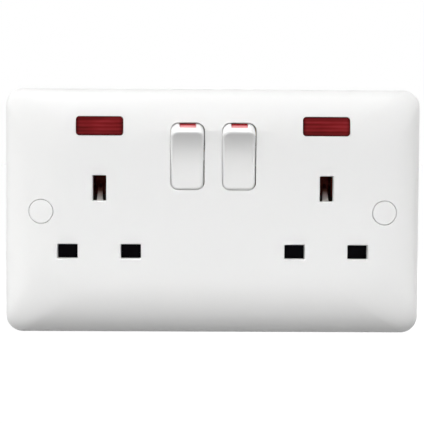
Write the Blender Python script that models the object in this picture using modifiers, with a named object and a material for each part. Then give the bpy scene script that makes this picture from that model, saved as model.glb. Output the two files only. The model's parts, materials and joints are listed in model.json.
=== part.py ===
# Switched double socket: a moulded front plate with its rockers, lenses, shutters,
# contacts, terminals and rear housing. Metres, +Z up, front towards -Y, wall plane at Y = 0.
import math

import bmesh
import bpy
from mathutils import Matrix, Vector

# Sizes set by the standards for the plug and for the wall box
PIN_SPACING = 0.0222            # live to neutral, and earth above their line
LIVE_PIN = (0.00635, 0.0040)    # width and height
EARTH_PIN = (0.0040, 0.0080)
FIXING_SPACING = 0.1206

# Clearances
CLEARANCE = 0.0003              # between pieces that sit on each other
PAST = 0.0005                   # how far a cutter runs past what it cuts

# Front plate, whose outline follows from what lies on it
PLATE_END = 0.0127              # fixing screw to the nearest edge
PIN_ROW_RISE = 0.02915          # lower edge to the live and neutral slots
LENS_RISE = 0.02185             # earth slot to lens
LENS_DROP = 0.0128              # upper edge to lens
PLATE_WIDTH = FIXING_SPACING + 2 * PLATE_END
PLATE_HEIGHT = PIN_ROW_RISE + PIN_SPACING + LENS_RISE + LENS_DROP
PLATE_CORNER_RADIUS = 0.006
PLATE_DEPTH = 0.0095            # wall plane to face
PLATE_LIP = 0.0025              # straight edge next to the wall
PLATE_WALL = 0.0025
ROLL_WIDTH = 0.019              # width of the soft edge, seen from the front
CORNER_GROWTH = 0.5             # how much the corner radius grows for each metre inwards
ROLL_STEPS = 7
CORNER_STEPS = 5

# Where things stand on the face
SOCKET_INSET = 0.02045          # fixing screw to the socket's middle
SWITCH_DROP = 0.0107            # lens to the rockers' middle
SWITCH_X = 0.00905
SOCKET_X = FIXING_SPACING / 2 - SOCKET_INSET
PIN_ROW_Z = PIN_ROW_RISE - PLATE_HEIGHT / 2
EARTH_Z = PIN_ROW_Z + PIN_SPACING
LENS_Z = PLATE_HEIGHT / 2 - LENS_DROP
SWITCH_Z = LENS_Z - SWITCH_DROP

# Pin slots and the guides behind them
LIVE_SLOT = (0.0069, 0.0047)
EARTH_SLOT = (0.00456, 0.0088)
SLOT_CHAMFER = 0.0004
GUIDE_WALL = 0.0013
GUIDE_DEPTH = 0.0050            # face to the guides' ends
FACE_Y = -PLATE_DEPTH
INNER_Y = FACE_Y + PLATE_WALL
GUIDE_END = FACE_Y + GUIDE_DEPTH

# Rockers
APERTURE_WIDTH = 0.0120
APERTURE_CORNER = 0.0029
APERTURE_PAST = 0.0018          # cut past the flat of the plate, as its wall slopes back at the upper end
ROCKER_GAP = 0.00035            # at each side of a rocker
ROCKER_CORNER = 0.0023
ROCKER_RADIUS = 0.01285         # pivot to the end faces
ROCKER_END_GAP = 0.000524       # end face to aperture, all the way along its sweep
RIDGE_ANGLE = math.radians(51.25)  # from the paddle's middle to its ridges, round the pivot
ROCKER_HALF_LENGTH = ROCKER_RADIUS * math.sin(RIDGE_ANGLE)
PADDLE_Y = -ROCKER_RADIUS * math.cos(RIDGE_ANGLE)
ROCKER_THROW = math.radians(19.7)
PIVOT_DEPTH = 0.0062            # face to pivot
PIVOT_Y = FACE_Y + PIVOT_DEPTH
BARREL_FRONT = PADDLE_Y - PAST
DISH_HEIGHT = 0.00344
DISH_POWER = 3.3
DISH_STEPS = 10
BARREL_STEPS = 8
ROCKER_SKIN = 0.0013
ROCKER_END_WALL = 0.0006        # ridge to pocket
SKIRT_Y = -0.0022               # inner end of the rocker's end walls, from the pivot
EAR_Y = 0.0019
EAR_HALF = 0.0032
EAR_ROOT_HALF = 0.0042
TRUNNION_RADIUS = 0.0015
TRUNNION_LENGTH = 0.0014
CHEEK_WALL = 0.0013
CHEEK_HALF = 0.0036
STEM_RADIUS = 0.0023
STEM_REACH = 0.0054
STEM_BORE = 0.00145
BORE_START = -0.0030
FLAG_WIDTH = 0.0061
FLAG_DEPTH = 0.0008
FLAG_START = math.radians(63.1)   # angles round the pivot, from the middle of the paddle
FLAG_END = math.radians(77.5)

# Plunger and its spring, inside the rocker's stem
PLUNGER_RADIUS = 0.00115
PLUNGER_LENGTH = 0.0091
PLUNGER_STROKE = 0.0008
PLUNGER_COIL_SHUT = 0.0032      # room left for its spring at the end of the stroke
PLUNGER_TAIL = BORE_START + PLUNGER_COIL_SHUT + PLUNGER_STROKE
PLUNGER_TIP = PLUNGER_TAIL + PLUNGER_LENGTH
PLUNGER_COIL = STEM_BORE - 0.00045
PLUNGER_WIRE = 0.00020
PLUNGER_TURNS = 5

# See-saw contacts
STRIP = 0.0008                  # thickness of every contact strip
STRAP_HALF = 0.0018
BLADE_FREE = 0.0002             # plunger to blade at mid-stroke
BLADE_Y = PIVOT_Y + PLUNGER_TIP + BLADE_FREE + STRIP / 2
BLADE_THROW = math.radians(18.0)
BLADE_WIDTH = 0.0052
BLADE_DOWN = 0.0060
BLADE_UP = 0.0104
RIVET_RADIUS = 0.0013
RIVET_AT = 0.0090
RIVET_HEIGHT = 0.0007

# Neon indicators
LENS_WIDTH = 0.01665
LENS_HEIGHT = 0.0068
LENS_CORNER = 0.0012
LENS_GAP = 0.00015
LENS_FLANGE = 0.0009
LENS_SEAT = 0.0015              # the plate's inner face to the flange, past the slope of the soft edge
LENS_FLANGE_FRONT = INNER_Y + LENS_SEAT
LENS_FLANGE_THICKNESS = 0.0008
LAMP_RADIUS = 0.0022
LAMP_LENGTH = 0.0136
LAMP_NECK = 0.0010              # length of the thin neck at each end
LAMP_SHOULDER = 0.0022          # from an end to the full width
RESISTOR_RADIUS = 0.0011
RESISTOR_LENGTH = 0.0064
RESISTOR_CAP = 0.0014           # length of the thicker cap at each end
RESISTOR_SHOULDER = 0.0018      # from an end to the waist
RESISTOR_Z = LENS_Z - 0.0082
RESISTOR_Y = 0.0015
LEAD_RADIUS = 0.00035
LEAD_BEND = 0.0018              # from a lamp's end to its leads' bend
LEAD_DROP_X = 0.0062            # neutral lead's drop, from the socket's middle
LEAD_DROP_Y = 0.0040
LEAD_EASE = 0.0020              # how far a lead's bend reaches
LEAD_STEP_BACK = 0.001          # a lead's first step from its lamp, back and down
LEAD_STEP_DOWN = 0.003

# Shutters
SHUTTER_THICKNESS = 0.0016
SHUTTER_LAP_X = 0.00105         # how far it reaches past a slot
SHUTTER_LAP_Z = 0.0007
SHUTTER_OPEN = 0.0002           # how far it clears a slot when it is down
SHUTTER_ARM_HALF = 0.0018
SHUTTER_FRONT = GUIDE_END + CLEARANCE
SHUTTER_HALF = PIN_SPACING / 2 + LIVE_SLOT[0] / 2 + SHUTTER_LAP_X
SHUTTER_BOTTOM = PIN_ROW_Z - LIVE_SLOT[1] / 2 - SHUTTER_LAP_Z
SHUTTER_TOP = PIN_ROW_Z + LIVE_SLOT[1] / 2 + SHUTTER_LAP_Z
SHUTTER_TRAVEL = LIVE_SLOT[1] + SHUTTER_LAP_Z + SHUTTER_OPEN
CAM_WIDTH = 0.0024              # at its foot
CAM_TIP_WIDTH = 0.0010
CAM_DROP = 0.00055              # its foot below the earth slot
CAM_LIP = 0.0004                # height of its upright nose
CAM_RISE = 0.00135              # its top above the earth slot's middle
CAM_TIP = 0.0012                # thickness of its upper end
CAM_FOOT = EARTH_Z - EARTH_SLOT[1] / 2 - CAM_DROP
CAM_NOSE = CAM_FOOT + CAM_LIP
CAM_TOP = EARTH_Z + CAM_RISE
SPRING_COIL = 0.00075
SPRING_WIRE = 0.00020
SPRING_TURNS = 5

# Frames that carry the shutters
FRAME_THICKNESS = 0.0012
FRAME_RAIL = 0.0010
FRAME_PLAY = 0.0006             # from the shutter's side to a rail
SPRING_SHUT = 0.0025            # room left for the spring when the shutter is down
FRAME_BASE = SHUTTER_FRONT + SHUTTER_THICKNESS + CLEARANCE
FRAME_BACK = FRAME_BASE + FRAME_THICKNESS
FRAME_FRONT = INNER_Y + 0.0004
FRAME_HALF = SHUTTER_HALF + FRAME_PLAY + FRAME_RAIL
FRAME_BOTTOM = SHUTTER_BOTTOM - SHUTTER_TRAVEL - SPRING_SHUT - FRAME_RAIL
FRAME_SHOULDER = SHUTTER_TOP + 0.0018
FRAME_NECK_HALF = EARTH_SLOT[0] / 2 + 0.00422
FRAME_TOP = EARTH_Z + EARTH_SLOT[1] / 2 + 0.00125
CAM_BACK = FRAME_BACK + 0.0027

# Rear housing
HOUSING_WALL = 0.0016
FLOOR_THICKNESS = 0.0020
HOUSING_FRONT = FRAME_BACK + CLEARANCE
HOUSING_HALF = SOCKET_X + FRAME_HALF
HOUSING_BOTTOM = 0.0100 - PLATE_HEIGHT / 2
HOUSING_TOP = PLATE_HEIGHT / 2 - 0.0085
NOTCH_HALF = 0.0080             # each end's notch clears the wall box's lug
NOTCH_X = FIXING_SPACING / 2 - 0.0061
COLUMN_RADIUS = 0.0038
HOUSING_SCREW_X = HOUSING_HALF - 0.0040
HOUSING_SCREW_HIGH = HOUSING_TOP - 0.0065
HOUSING_SCREW_LOW = HOUSING_BOTTOM + 0.0038
HOUSING_SCREW_RADIUS = 0.00145
HOUSING_SCREW_TIP = 0.001       # length of its tapered end
HOUSING_HEAD_RADIUS = 0.0027
HOUSING_HEAD = 0.0017
CROSS_LONG = 0.0017             # half the length of each arm of the cross in its head
CROSS_HALF = 0.0003
CROSS_DEPTH = 0.0009
PLATE_BOSS_RADIUS = 0.0029
POST_RADIUS = 0.0014
RIB_HEIGHT = 0.0008             # stiffening ribs and collars on the housing's back
RIB_HALF = 0.0006
RIB_INSET = 0.0110              # from the housing's outer faces to the ribs' ends
COLLAR_WALL = 0.0012

# Fixing screws and their caps
RECESS_RADIUS = 0.00435
RECESS_DEPTH = 0.0069
RECESS_FLOOR = FACE_Y + RECESS_DEPTH
FIXING_BOSS_RADIUS = RECESS_RADIUS + 0.00125
FIXING_BOSS_END = RECESS_FLOOR + 0.0024
FIXING_RADIUS = 0.00175
FIXING_LENGTH = 0.0249          # under its head
FIXING_SEAT = RECESS_FLOOR - CLEARANCE
FIXING_TIP = FIXING_SEAT + FIXING_LENGTH
FIXING_HEAD_RADIUS = 0.0033
FIXING_HEAD = 0.0022
FIXING_CROWN = 0.0010
FIXING_SLOT_WIDTH = 0.0009
FIXING_SLOT_DEPTH = 0.0011
CAP_RADIUS = 0.0042
CAP_SINK = 0.0011               # below the flat of the face
CAP_SKIRT = 0.0028
CAP_WALL = 0.0008

# Contact strips: how far from the wall plane each one's front lies
RIDGE_HEIGHT = 0.0005           # what the see-saw leans on
RIDGE_Y = BLADE_Y + STRIP / 2 + CLEARANCE
LIVE_BAR_Y = RIDGE_Y + RIDGE_HEIGHT
LIVE_STRAP_Y = LIVE_BAR_Y + STRIP + 0.0015
NEUTRAL_BAR_Y = LIVE_STRAP_Y + STRIP + 0.0008
EARTH_BAR_Y = NEUTRAL_BAR_Y + STRIP + CLEARANCE
FLOOR_Y = EARTH_BAR_Y + STRIP + CLEARANCE
CLIP_GRIP = 0.00035             # from an inserted pin to a leaf
CLIP_HALF = 0.0030
CLIP_FRONT = FRAME_BACK + 2 * CLEARANCE
EARTH_CLIP_FRONT = CAM_BACK + 2 * CLEARANCE
EARTH_CLIP_HALF = 0.0035

# Where the live straps run, seen from the front
STRAP_Z = SWITCH_Z + 0.0088
LIVE_RUN_Z = SWITCH_Z - 0.0010
LEFT_CLIP_X = PIN_SPACING / 2 - SOCKET_X
RIGHT_CLIP_X = PIN_SPACING / 2 + SOCKET_X
LEFT_DROP_X = LEFT_CLIP_X + CLIP_HALF + 0.00475
RIGHT_STEP_X = SOCKET_X - 0.01785
RIGHT_DROP_X = RIGHT_CLIP_X - 0.0007
RIGHT_TAP_X = SOCKET_X + 0.0055  # where the right lamp's lead meets its strap

# Terminals
TERMINALS = {"live": 0.0, "neutral": 0.013, "earth_left": -0.026, "earth_right": -0.013}
BLOCK_HALF = 0.0036
BLOCK_HEIGHT = 0.0081
BLOCK_DEPTH = 0.0088
BLOCK_BACK = FLOOR_Y - CLEARANCE
BLOCK_FRONT = BLOCK_BACK - BLOCK_DEPTH
BLOCK_BOTTOM = HOUSING_BOTTOM + HOUSING_WALL + CLEARANCE
BLOCK_TOP = BLOCK_BOTTOM + BLOCK_HEIGHT
WIRE_BORE_RADIUS = 0.0025
WIRE_BORE_Y = BLOCK_FRONT + 0.0042
WIRE_BORE_TOP = BLOCK_TOP - 0.0017
TERMINAL_SCREW_RADIUS = 0.0016
TERMINAL_HEAD_RADIUS = 0.0026
TERMINAL_HEAD = 0.0018
TERMINAL_SLOT = 0.0008          # width and depth of the slot in its head
TERMINAL_SCREW_Z = BLOCK_BOTTOM + 0.0039
NEUTRAL_BAR_Z = BLOCK_TOP + 0.0030
EARTH_ARM_Z = BLOCK_TOP + 0.0045

ROUND_STEPS = 16
CAP_STEPS = 28
# Places are kept to a ten-thousandth of a millimetre, so that flush faces meet.
GRID_DIGITS = 7

SIDES = {"left": -1, "right": 1}

COLOURS = {
    "white_moulding": ((0.86, 0.86, 0.85), 0.32, 0.0),
    "red_plastic": ((0.42, 0.01, 0.02), 0.25, 0.0),
    "shutter_plastic": ((0.03, 0.03, 0.03), 0.5, 0.0),
    "cam_plastic": ((0.75, 0.73, 0.70), 0.4, 0.0),
    "housing_plastic": ((0.10, 0.05, 0.032), 0.42, 0.0),
    "brass": ((0.72, 0.52, 0.22), 0.35, 1.0),
    "copper": ((0.50, 0.22, 0.12), 0.4, 1.0),
    "steel": ((0.62, 0.62, 0.60), 0.3, 1.0),
    "glass": ((0.9, 0.75, 0.7), 0.05, 0.0),
    "resistor_body": ((0.55, 0.42, 0.28), 0.6, 0.0),
}


def clear_scene():
    for obj in list(bpy.data.objects):
        bpy.data.objects.remove(obj, do_unlink=True)


def make_collection(name):
    collection = bpy.data.collections.new(name)
    bpy.context.scene.collection.children.link(collection)
    return collection


def make_material(name):
    colour, roughness, metallic = COLOURS[name]
    material = bpy.data.materials.new(name)
    material.use_nodes = True
    shader = material.node_tree.nodes["Principled BSDF"]
    shader.inputs["Base Color"].default_value = (*colour, 1.0)
    shader.inputs["Roughness"].default_value = roughness
    shader.inputs["Metallic"].default_value = metallic
    return material


clear_scene()
PARTS = make_collection("switched_double_socket")
CUTTERS = make_collection("cutters")
MATERIALS = {name: make_material(name) for name in COLOURS}


# Basic shapes, all left in the cutters' collection until they are finished


def snap(bm):
    """Puts points on a fine grid, so that flush faces of two pieces lie in one plane."""
    for vert in bm.verts:
        vert.co = [round(value, GRID_DIGITS) for value in vert.co]


def object_from(bm, name):
    bmesh.ops.recalc_face_normals(bm, faces=bm.faces)
    mesh = bpy.data.meshes.new(name)
    bm.to_mesh(mesh)
    bm.free()
    obj = bpy.data.objects.new(name, mesh)
    CUTTERS.objects.link(obj)
    obj.hide_render = True
    obj.display_type = "WIRE"
    return obj


def block(name, low, high):
    bm = bmesh.new()
    bmesh.ops.create_cube(bm, size=1.0)
    low, high = Vector(low), Vector(high)
    bmesh.ops.scale(bm, vec=high - low, verts=bm.verts)
    bmesh.ops.translate(bm, vec=(low + high) / 2, verts=bm.verts)
    snap(bm)
    return object_from(bm, name)


def rod(name, start, end, radius, steps=ROUND_STEPS):
    start, end = Vector(start), Vector(end)
    bm = bmesh.new()
    bmesh.ops.create_cone(
        bm, cap_ends=True, segments=steps, radius1=radius, radius2=radius, depth=(end - start).length
    )
    turn = (end - start).to_track_quat("Z", "Y").to_matrix().to_4x4()
    bmesh.ops.transform(bm, matrix=Matrix.Translation((start + end) / 2) @ turn, verts=bm.verts)
    return object_from(bm, name)


def loft(name, rings):
    """A closed solid through rings of the same number of points, with flat ends."""
    bm = bmesh.new()
    loops = [[bm.verts.new(point) for point in ring] for ring in rings]
    for first, second in zip(loops, loops[1:]):
        for i in range(len(first)):
            j = (i + 1) % len(first)
            bm.faces.new((first[i], first[j], second[j], second[i]))
    bm.faces.new(loops[0])
    bm.faces.new(loops[-1])
    return object_from(bm, name)


def rectangle_ring(centre_x, centre_z, half_x, half_z, y):
    corners = ((-1, -1), (1, -1), (1, 1), (-1, 1))
    return [(centre_x + sx * half_x, y, centre_z + sz * half_z) for sx, sz in corners]


def rounded_ring(centre_x, centre_z, half_x, half_z, radius, y, steps=CORNER_STEPS):
    """A rectangle with round corners in the plane at y, which may be a function of x and z."""
    ring = []
    for corner, (sx, sz) in enumerate(((1, 1), (-1, 1), (-1, -1), (1, -1))):
        for step in range(steps + 1):
            angle = math.pi / 2 * (corner + step / steps)
            x = centre_x + sx * (half_x - radius) + radius * math.cos(angle)
            z = centre_z + sz * (half_z - radius) + radius * math.sin(angle)
            ring.append((x, y(x, z) if callable(y) else y, z))
    return ring


def flat_piece(name, outline, front, thickness):
    """A flat piece cut to an outline of (x, z) points, from y = front backwards."""
    curve = bpy.data.curves.new(name, "CURVE")
    curve.dimensions = "2D"
    curve.fill_mode = "BOTH"
    curve.extrude = thickness / 2
    spline = curve.splines.new("POLY")
    spline.points.add(len(outline) - 1)
    for point, (x, z) in zip(spline.points, outline):
        point.co = (x, z, 0, 1)
    spline.use_cyclic_u = True
    place = Matrix.Translation((0, front + thickness / 2, 0)) @ Matrix.Rotation(math.pi / 2, 4, "X")
    return mesh_of_curve(curve, name, place)


def mesh_of_curve(curve, name, place=Matrix()):
    """The curve's evaluated mesh, with its caps welded on, as a new object."""
    drawn = bpy.data.objects.new(name, curve)
    CUTTERS.objects.link(drawn)
    bpy.context.view_layer.update()
    graph = bpy.context.evaluated_depsgraph_get()
    mesh = bpy.data.meshes.new_from_object(drawn.evaluated_get(graph))
    bpy.data.objects.remove(drawn)
    bm = bmesh.new()
    bm.from_mesh(mesh)
    bpy.data.meshes.remove(mesh)
    bmesh.ops.remove_doubles(bm, verts=bm.verts, dist=1e-6)
    bmesh.ops.transform(bm, matrix=place, verts=bm.verts)
    snap(bm)
    return object_from(bm, name)


def wire(name, points, radius, bevel_resolution=2):
    curve = bpy.data.curves.new(name, "CURVE")
    curve.dimensions = "3D"
    curve.bevel_depth = radius
    curve.bevel_resolution = bevel_resolution
    curve.use_fill_caps = True
    spline = curve.splines.new("POLY")
    spline.points.add(len(points) - 1)
    for point, co in zip(spline.points, points):
        point.co = (*co, 1)
    return mesh_of_curve(curve, name)


def turned(name, profile, steps=ROUND_STEPS):
    """A turned solid about Y. The profile's (radius, y) points run from its front to its back."""
    mesh = bpy.data.meshes.new(name)
    points = [(radius, 0, -y) for radius, y in profile]
    mesh.from_pydata(points, [(i, i + 1) for i in range(len(points) - 1)], [])
    obj = bpy.data.objects.new(name, mesh)
    CUTTERS.objects.link(obj)
    screw = obj.modifiers.new("turn", "SCREW")
    screw.axis = "Z"
    screw.steps = steps
    screw.render_steps = steps
    screw.use_merge_vertices = True
    screw.merge_threshold = 1e-5
    obj.rotation_euler = (math.pi / 2, 0, 0)
    bpy.context.view_layer.update()
    return baked(obj)


def baked(obj):
    """The object's evaluated mesh as a plain object at the world's origin."""
    bpy.context.view_layer.update()
    graph = bpy.context.evaluated_depsgraph_get()
    mesh = bpy.data.meshes.new_from_object(obj.evaluated_get(graph))
    bm = bmesh.new()
    bm.from_mesh(mesh)
    bpy.data.meshes.remove(mesh)
    bmesh.ops.transform(bm, matrix=obj.matrix_world, verts=bm.verts)
    bmesh.ops.remove_doubles(bm, verts=bm.verts, dist=1e-7)
    name = obj.name
    bpy.data.objects.remove(obj)
    return object_from(bm, name)


def moved(obj, x=0.0, y=0.0, z=0.0):
    obj.data.transform(Matrix.Translation((x, y, z)))
    return obj


def combine(target, tools, operation):
    """Joins or cuts the target with each tool in turn, and leaves one plain mesh."""
    for number, tool in enumerate(tools):
        modifier = target.modifiers.new(f"{operation.lower()}_{number}", "BOOLEAN")
        modifier.operation = operation
        modifier.solver = "EXACT"
        modifier.object = tool
    target = baked(target)
    for tool in tools:
        bpy.data.objects.remove(tool)
    return target


def joined(target, *tools):
    return combine(target, tools, "UNION")


def cut(target, *tools):
    return combine(target, tools, "DIFFERENCE")


def common(target, tool):
    return combine(target, [tool], "INTERSECT")


def group(name, pieces):
    """Separate bodies as one tool, so that they are joined or cut in one go."""
    bm = bmesh.new()
    for piece in pieces:
        bm.from_mesh(piece.data)
        bpy.data.objects.remove(piece)
    return object_from(bm, name)


def finish(obj, name, material, pivot=None):
    """Makes the object a part, on its pivot's empty if it has one."""
    CUTTERS.objects.unlink(obj)
    PARTS.objects.link(obj)
    obj.name = name
    obj.hide_render = False
    obj.display_type = "TEXTURED"
    obj.data.materials.clear()
    obj.data.materials.append(MATERIALS[material])
    obj.data.shade_smooth()
    obj.data.set_sharp_from_angle(angle=math.radians(35))
    obj.parent = pivot
    return obj


def pivot_empty(name, place, tilt=0.0):
    empty = bpy.data.objects.new(name, None)
    PARTS.objects.link(empty)
    empty.location = place
    empty.rotation_euler = (tilt, 0, 0)
    empty.empty_display_size = 0.005
    return empty


def strap_outline(path, half):
    """The outline of a strip of constant width along a path of (x, z) points, with mitred bends."""
    path = [Vector(point) for point in path]
    sides = ([], [])
    for i, point in enumerate(path):
        before = (point - path[i - 1]).normalized() if i else None
        after = (path[i + 1] - point).normalized() if i < len(path) - 1 else None
        first, second = before or after, after or before
        normal = (first.orthogonal() + second.orthogonal()).normalized()
        reach = half / normal.dot(first.orthogonal())
        sides[0].append(point + normal * reach)
        sides[1].append(point - normal * reach)
    return [tuple(point) for point in sides[0] + sides[1][::-1]]


# The front plate


def face_y(x, z):
    """Where the plate's outer surface lies above a point of the face."""
    inset = min(PLATE_WIDTH / 2 - abs(x), PLATE_HEIGHT / 2 - abs(z))
    reach = min(1.0, max(0.0, 1 - inset / ROLL_WIDTH))
    return FACE_Y + (PLATE_DEPTH - PLATE_LIP) * (1 - math.sqrt(1 - reach**2))


def plate_shell():
    """The plate's outer surface as an open sheet, given its wall by Solidify."""
    rings = [(0.0, 0.0)]
    for step in range(ROLL_STEPS + 1):
        angle = math.pi / 2 * step / ROLL_STEPS
        depth = PLATE_LIP + (PLATE_DEPTH - PLATE_LIP) * math.sin(angle)
        rings.append((ROLL_WIDTH * (1 - math.cos(angle)), depth))
    bm = bmesh.new()
    loops = []
    for inset, height in rings:
        ring = rounded_ring(
            0, 0, PLATE_WIDTH / 2 - inset, PLATE_HEIGHT / 2 - inset,
            PLATE_CORNER_RADIUS + CORNER_GROWTH * inset, -height,
        )
        loops.append([bm.verts.new(point) for point in ring])
    for first, second in zip(loops, loops[1:]):
        for i in range(len(first)):
            j = (i + 1) % len(first)
            bm.faces.new((first[i], first[j], second[j], second[i]))
    bm.faces.new(loops[-1])
    shell = object_from(bm, "plate_shell")
    middle = max(shell.data.polygons, key=lambda face: face.area)
    if middle.normal.y > 0:
        shell.data.flip_normals()
    wall = shell.modifiers.new("wall", "SOLIDIFY")
    wall.thickness = PLATE_WALL
    wall.offset = -1
    wall.use_even_offset = True
    return baked(shell)


def slot_places():
    """Each pin slot's name, centre and size."""
    for side, sign in SIDES.items():
        middle = sign * SOCKET_X
        yield f"{side}_live", middle + PIN_SPACING / 2, PIN_ROW_Z, LIVE_SLOT
        yield f"{side}_neutral", middle - PIN_SPACING / 2, PIN_ROW_Z, LIVE_SLOT
        yield f"{side}_earth", middle, EARTH_Z, EARTH_SLOT


def slot_guide(name, x, z, size):
    half_x, half_z = size[0] / 2 + GUIDE_WALL, size[1] / 2 + GUIDE_WALL
    return block(
        f"{name}_guide", (x - half_x, INNER_Y - PAST, z - half_z), (x + half_x, GUIDE_END, z + half_z)
    )


def slot_cutter(name, x, z, size):
    levels = (
        (FACE_Y - PAST, SLOT_CHAMFER),
        (FACE_Y, SLOT_CHAMFER),
        (FACE_Y + SLOT_CHAMFER, 0.0),
        (GUIDE_END + PAST, 0.0),
    )
    rings = [rectangle_ring(x, z, size[0] / 2 + grow, size[1] / 2 + grow, y) for y, grow in levels]
    return loft(f"{name}_slot", rings)


def sweep_height(y, radius):
    """Half the height that a rocker's end face sweeps at this depth."""
    return math.sqrt(radius**2 - (y - PIVOT_Y) ** 2)


def aperture_cutter(name, x):
    """A rocker's aperture, whose ends widen inwards as the rocker's end faces do."""
    reach = ROCKER_RADIUS + ROCKER_END_GAP
    levels = [FACE_Y - PAST]
    levels += [FACE_Y + (PLATE_WALL + APERTURE_PAST) * step / 6 for step in range(7)]
    rings = []
    for y in levels:
        half_height = sweep_height(max(y, FACE_Y), reach)
        rings.append(rounded_ring(x, SWITCH_Z, APERTURE_WIDTH / 2, half_height, APERTURE_CORNER, y))
    return loft(f"{name}_aperture", rings)


def rocker_cheeks(name, x):
    """The two webs on the plate that carry a rocker's trunnions."""
    inner = APERTURE_WIDTH / 2
    cheeks = []
    for sign in (-1, 1):
        near, far = x + sign * inner, x + sign * (inner + CHEEK_WALL)
        cheeks.append(
            block(
                f"{name}_cheek",
                (min(near, far), INNER_Y - PAST, SWITCH_Z - CHEEK_HALF),
                (max(near, far), PIVOT_Y + TRUNNION_RADIUS + CHEEK_WALL, SWITCH_Z + CHEEK_HALF),
            )
        )
    return cheeks


def lens_cutter(name, x):
    half_x, half_z = LENS_WIDTH / 2, LENS_HEIGHT / 2
    rings = [
        rounded_ring(x, LENS_Z, half_x, half_z, LENS_CORNER, y, 4)
        for y in (FACE_Y - PAST, LENS_FLANGE_FRONT + PAST)
    ]
    return loft(f"{name}_window", rings)


def housing_screw_places():
    for side, sign in SIDES.items():
        yield f"{side}_upper", sign * HOUSING_SCREW_X, HOUSING_SCREW_HIGH
        yield f"{side}_lower", sign * HOUSING_SCREW_X, HOUSING_SCREW_LOW


def front_plate():
    added, holes = [], []
    for name, x, z, size in slot_places():
        added.append(slot_guide(name, x, z, size))
        holes.append(slot_cutter(name, x, z, size))
    for side, sign in SIDES.items():
        added += rocker_cheeks(side, sign * SWITCH_X)
        holes.append(aperture_cutter(side, sign * SWITCH_X))
        holes.append(
            rod(
                f"{side}_trunnion_hole",
                (sign * SWITCH_X - APERTURE_WIDTH / 2 - CHEEK_WALL - PAST, PIVOT_Y, SWITCH_Z),
                (sign * SWITCH_X + APERTURE_WIDTH / 2 + CHEEK_WALL + PAST, PIVOT_Y, SWITCH_Z),
                TRUNNION_RADIUS + CLEARANCE,
            )
        )
        holes.append(lens_cutter(side, sign * SOCKET_X))
        fixing = sign * FIXING_SPACING / 2
        added.append(
            rod(
                f"{side}_fixing_boss", (fixing, INNER_Y - PAST, 0), (fixing, FIXING_BOSS_END, 0),
                FIXING_BOSS_RADIUS,
            )
        )
        recess = [(0, FACE_Y - PAST), (RECESS_RADIUS, FACE_Y - PAST), (RECESS_RADIUS, RECESS_FLOOR)]
        shank = FIXING_RADIUS + CLEARANCE
        recess += [(shank, RECESS_FLOOR), (shank, FIXING_BOSS_END + PAST), (0, FIXING_BOSS_END + PAST)]
        holes.append(moved(turned(f"{side}_fixing_recess", recess, CAP_STEPS), x=fixing))
    for name, x, z in housing_screw_places():
        added.append(
            rod(f"{name}_boss", (x, INNER_Y - PAST, z), (x, HOUSING_FRONT - CLEARANCE, z), PLATE_BOSS_RADIUS)
        )
        pilot = HOUSING_SCREW_RADIUS + CLEARANCE / 2
        holes.append(rod(f"{name}_pilot", (x, INNER_Y + PAST, z), (x, PAST, z), pilot, 12))
    plate = joined(plate_shell(), group("plate_webs", added))
    for hole in holes:
        plate = cut(plate, hole)
    return finish(plate, "front_plate", "white_moulding")


# Pieces on the face


def screw_cap(side, x):
    front = FACE_Y + CAP_SINK
    profile = [
        (0, front),
        (CAP_RADIUS - CLEARANCE / 2, front),
        (CAP_RADIUS, front + CLEARANCE / 2),
        (CAP_RADIUS, front + CAP_SKIRT),
        (CAP_RADIUS - CAP_WALL, front + CAP_SKIRT),
        (CAP_RADIUS - CAP_WALL, front + CAP_WALL),
        (0, front + CAP_WALL),
    ]
    finish(moved(turned("cap", profile, CAP_STEPS), x=x), f"screw_cap_{side}", "white_moulding")


def cross_slot(x, front, z, reach, width, depth):
    """A cutter for the slot in a screw's head, which faces towards -Y from y = front."""
    return block("slot", (x - reach, front - PAST, z - width / 2), (x + reach, front + depth, z + width / 2))


def fixing_screw(side, x):
    seat = FIXING_SEAT
    front = seat - FIXING_HEAD
    profile = [
        (0, front),
        (FIXING_HEAD_RADIUS * 0.6, front),
        (FIXING_HEAD_RADIUS, front + FIXING_CROWN),
        (FIXING_HEAD_RADIUS, seat),
        (FIXING_RADIUS, seat),
        (FIXING_RADIUS, FIXING_TIP - FIXING_CROWN),
        (FIXING_RADIUS * 0.66, FIXING_TIP),
        (0, FIXING_TIP),
    ]
    screw = moved(turned("screw", profile), x=x)
    reach = FIXING_HEAD_RADIUS + PAST
    screw = cut(screw, cross_slot(x, front, 0, reach, FIXING_SLOT_WIDTH, FIXING_SLOT_DEPTH))
    finish(screw, f"fixing_screw_{side}", "steel")


def indicator_lens(side, x):
    half_x, half_z = LENS_WIDTH / 2 - LENS_GAP, LENS_HEIGHT / 2 - LENS_GAP
    front = rounded_ring(x, LENS_Z, half_x, half_z, LENS_CORNER - LENS_GAP, face_y, 4)
    back = rounded_ring(x, LENS_Z, half_x, half_z, LENS_CORNER - LENS_GAP, LENS_FLANGE_FRONT + PAST, 4)
    body = loft("lens_body", [front, back])
    flange = block(
        "lens_flange",
        (x - half_x - LENS_FLANGE, LENS_FLANGE_FRONT, LENS_Z - half_z - LENS_FLANGE),
        (x + half_x + LENS_FLANGE, LENS_FLANGE_FRONT + LENS_FLANGE_THICKNESS, LENS_Z + half_z + LENS_FLANGE),
    )
    finish(joined(body, flange), f"indicator_lens_{side}", "red_plastic")


# The rockers, with what their stems hold


def rocker_dish(t):
    """Depth of the paddle below the line between its ridges, t = 0 at the bottom ridge."""
    return DISH_HEIGHT * (t - t**DISH_POWER)


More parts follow.
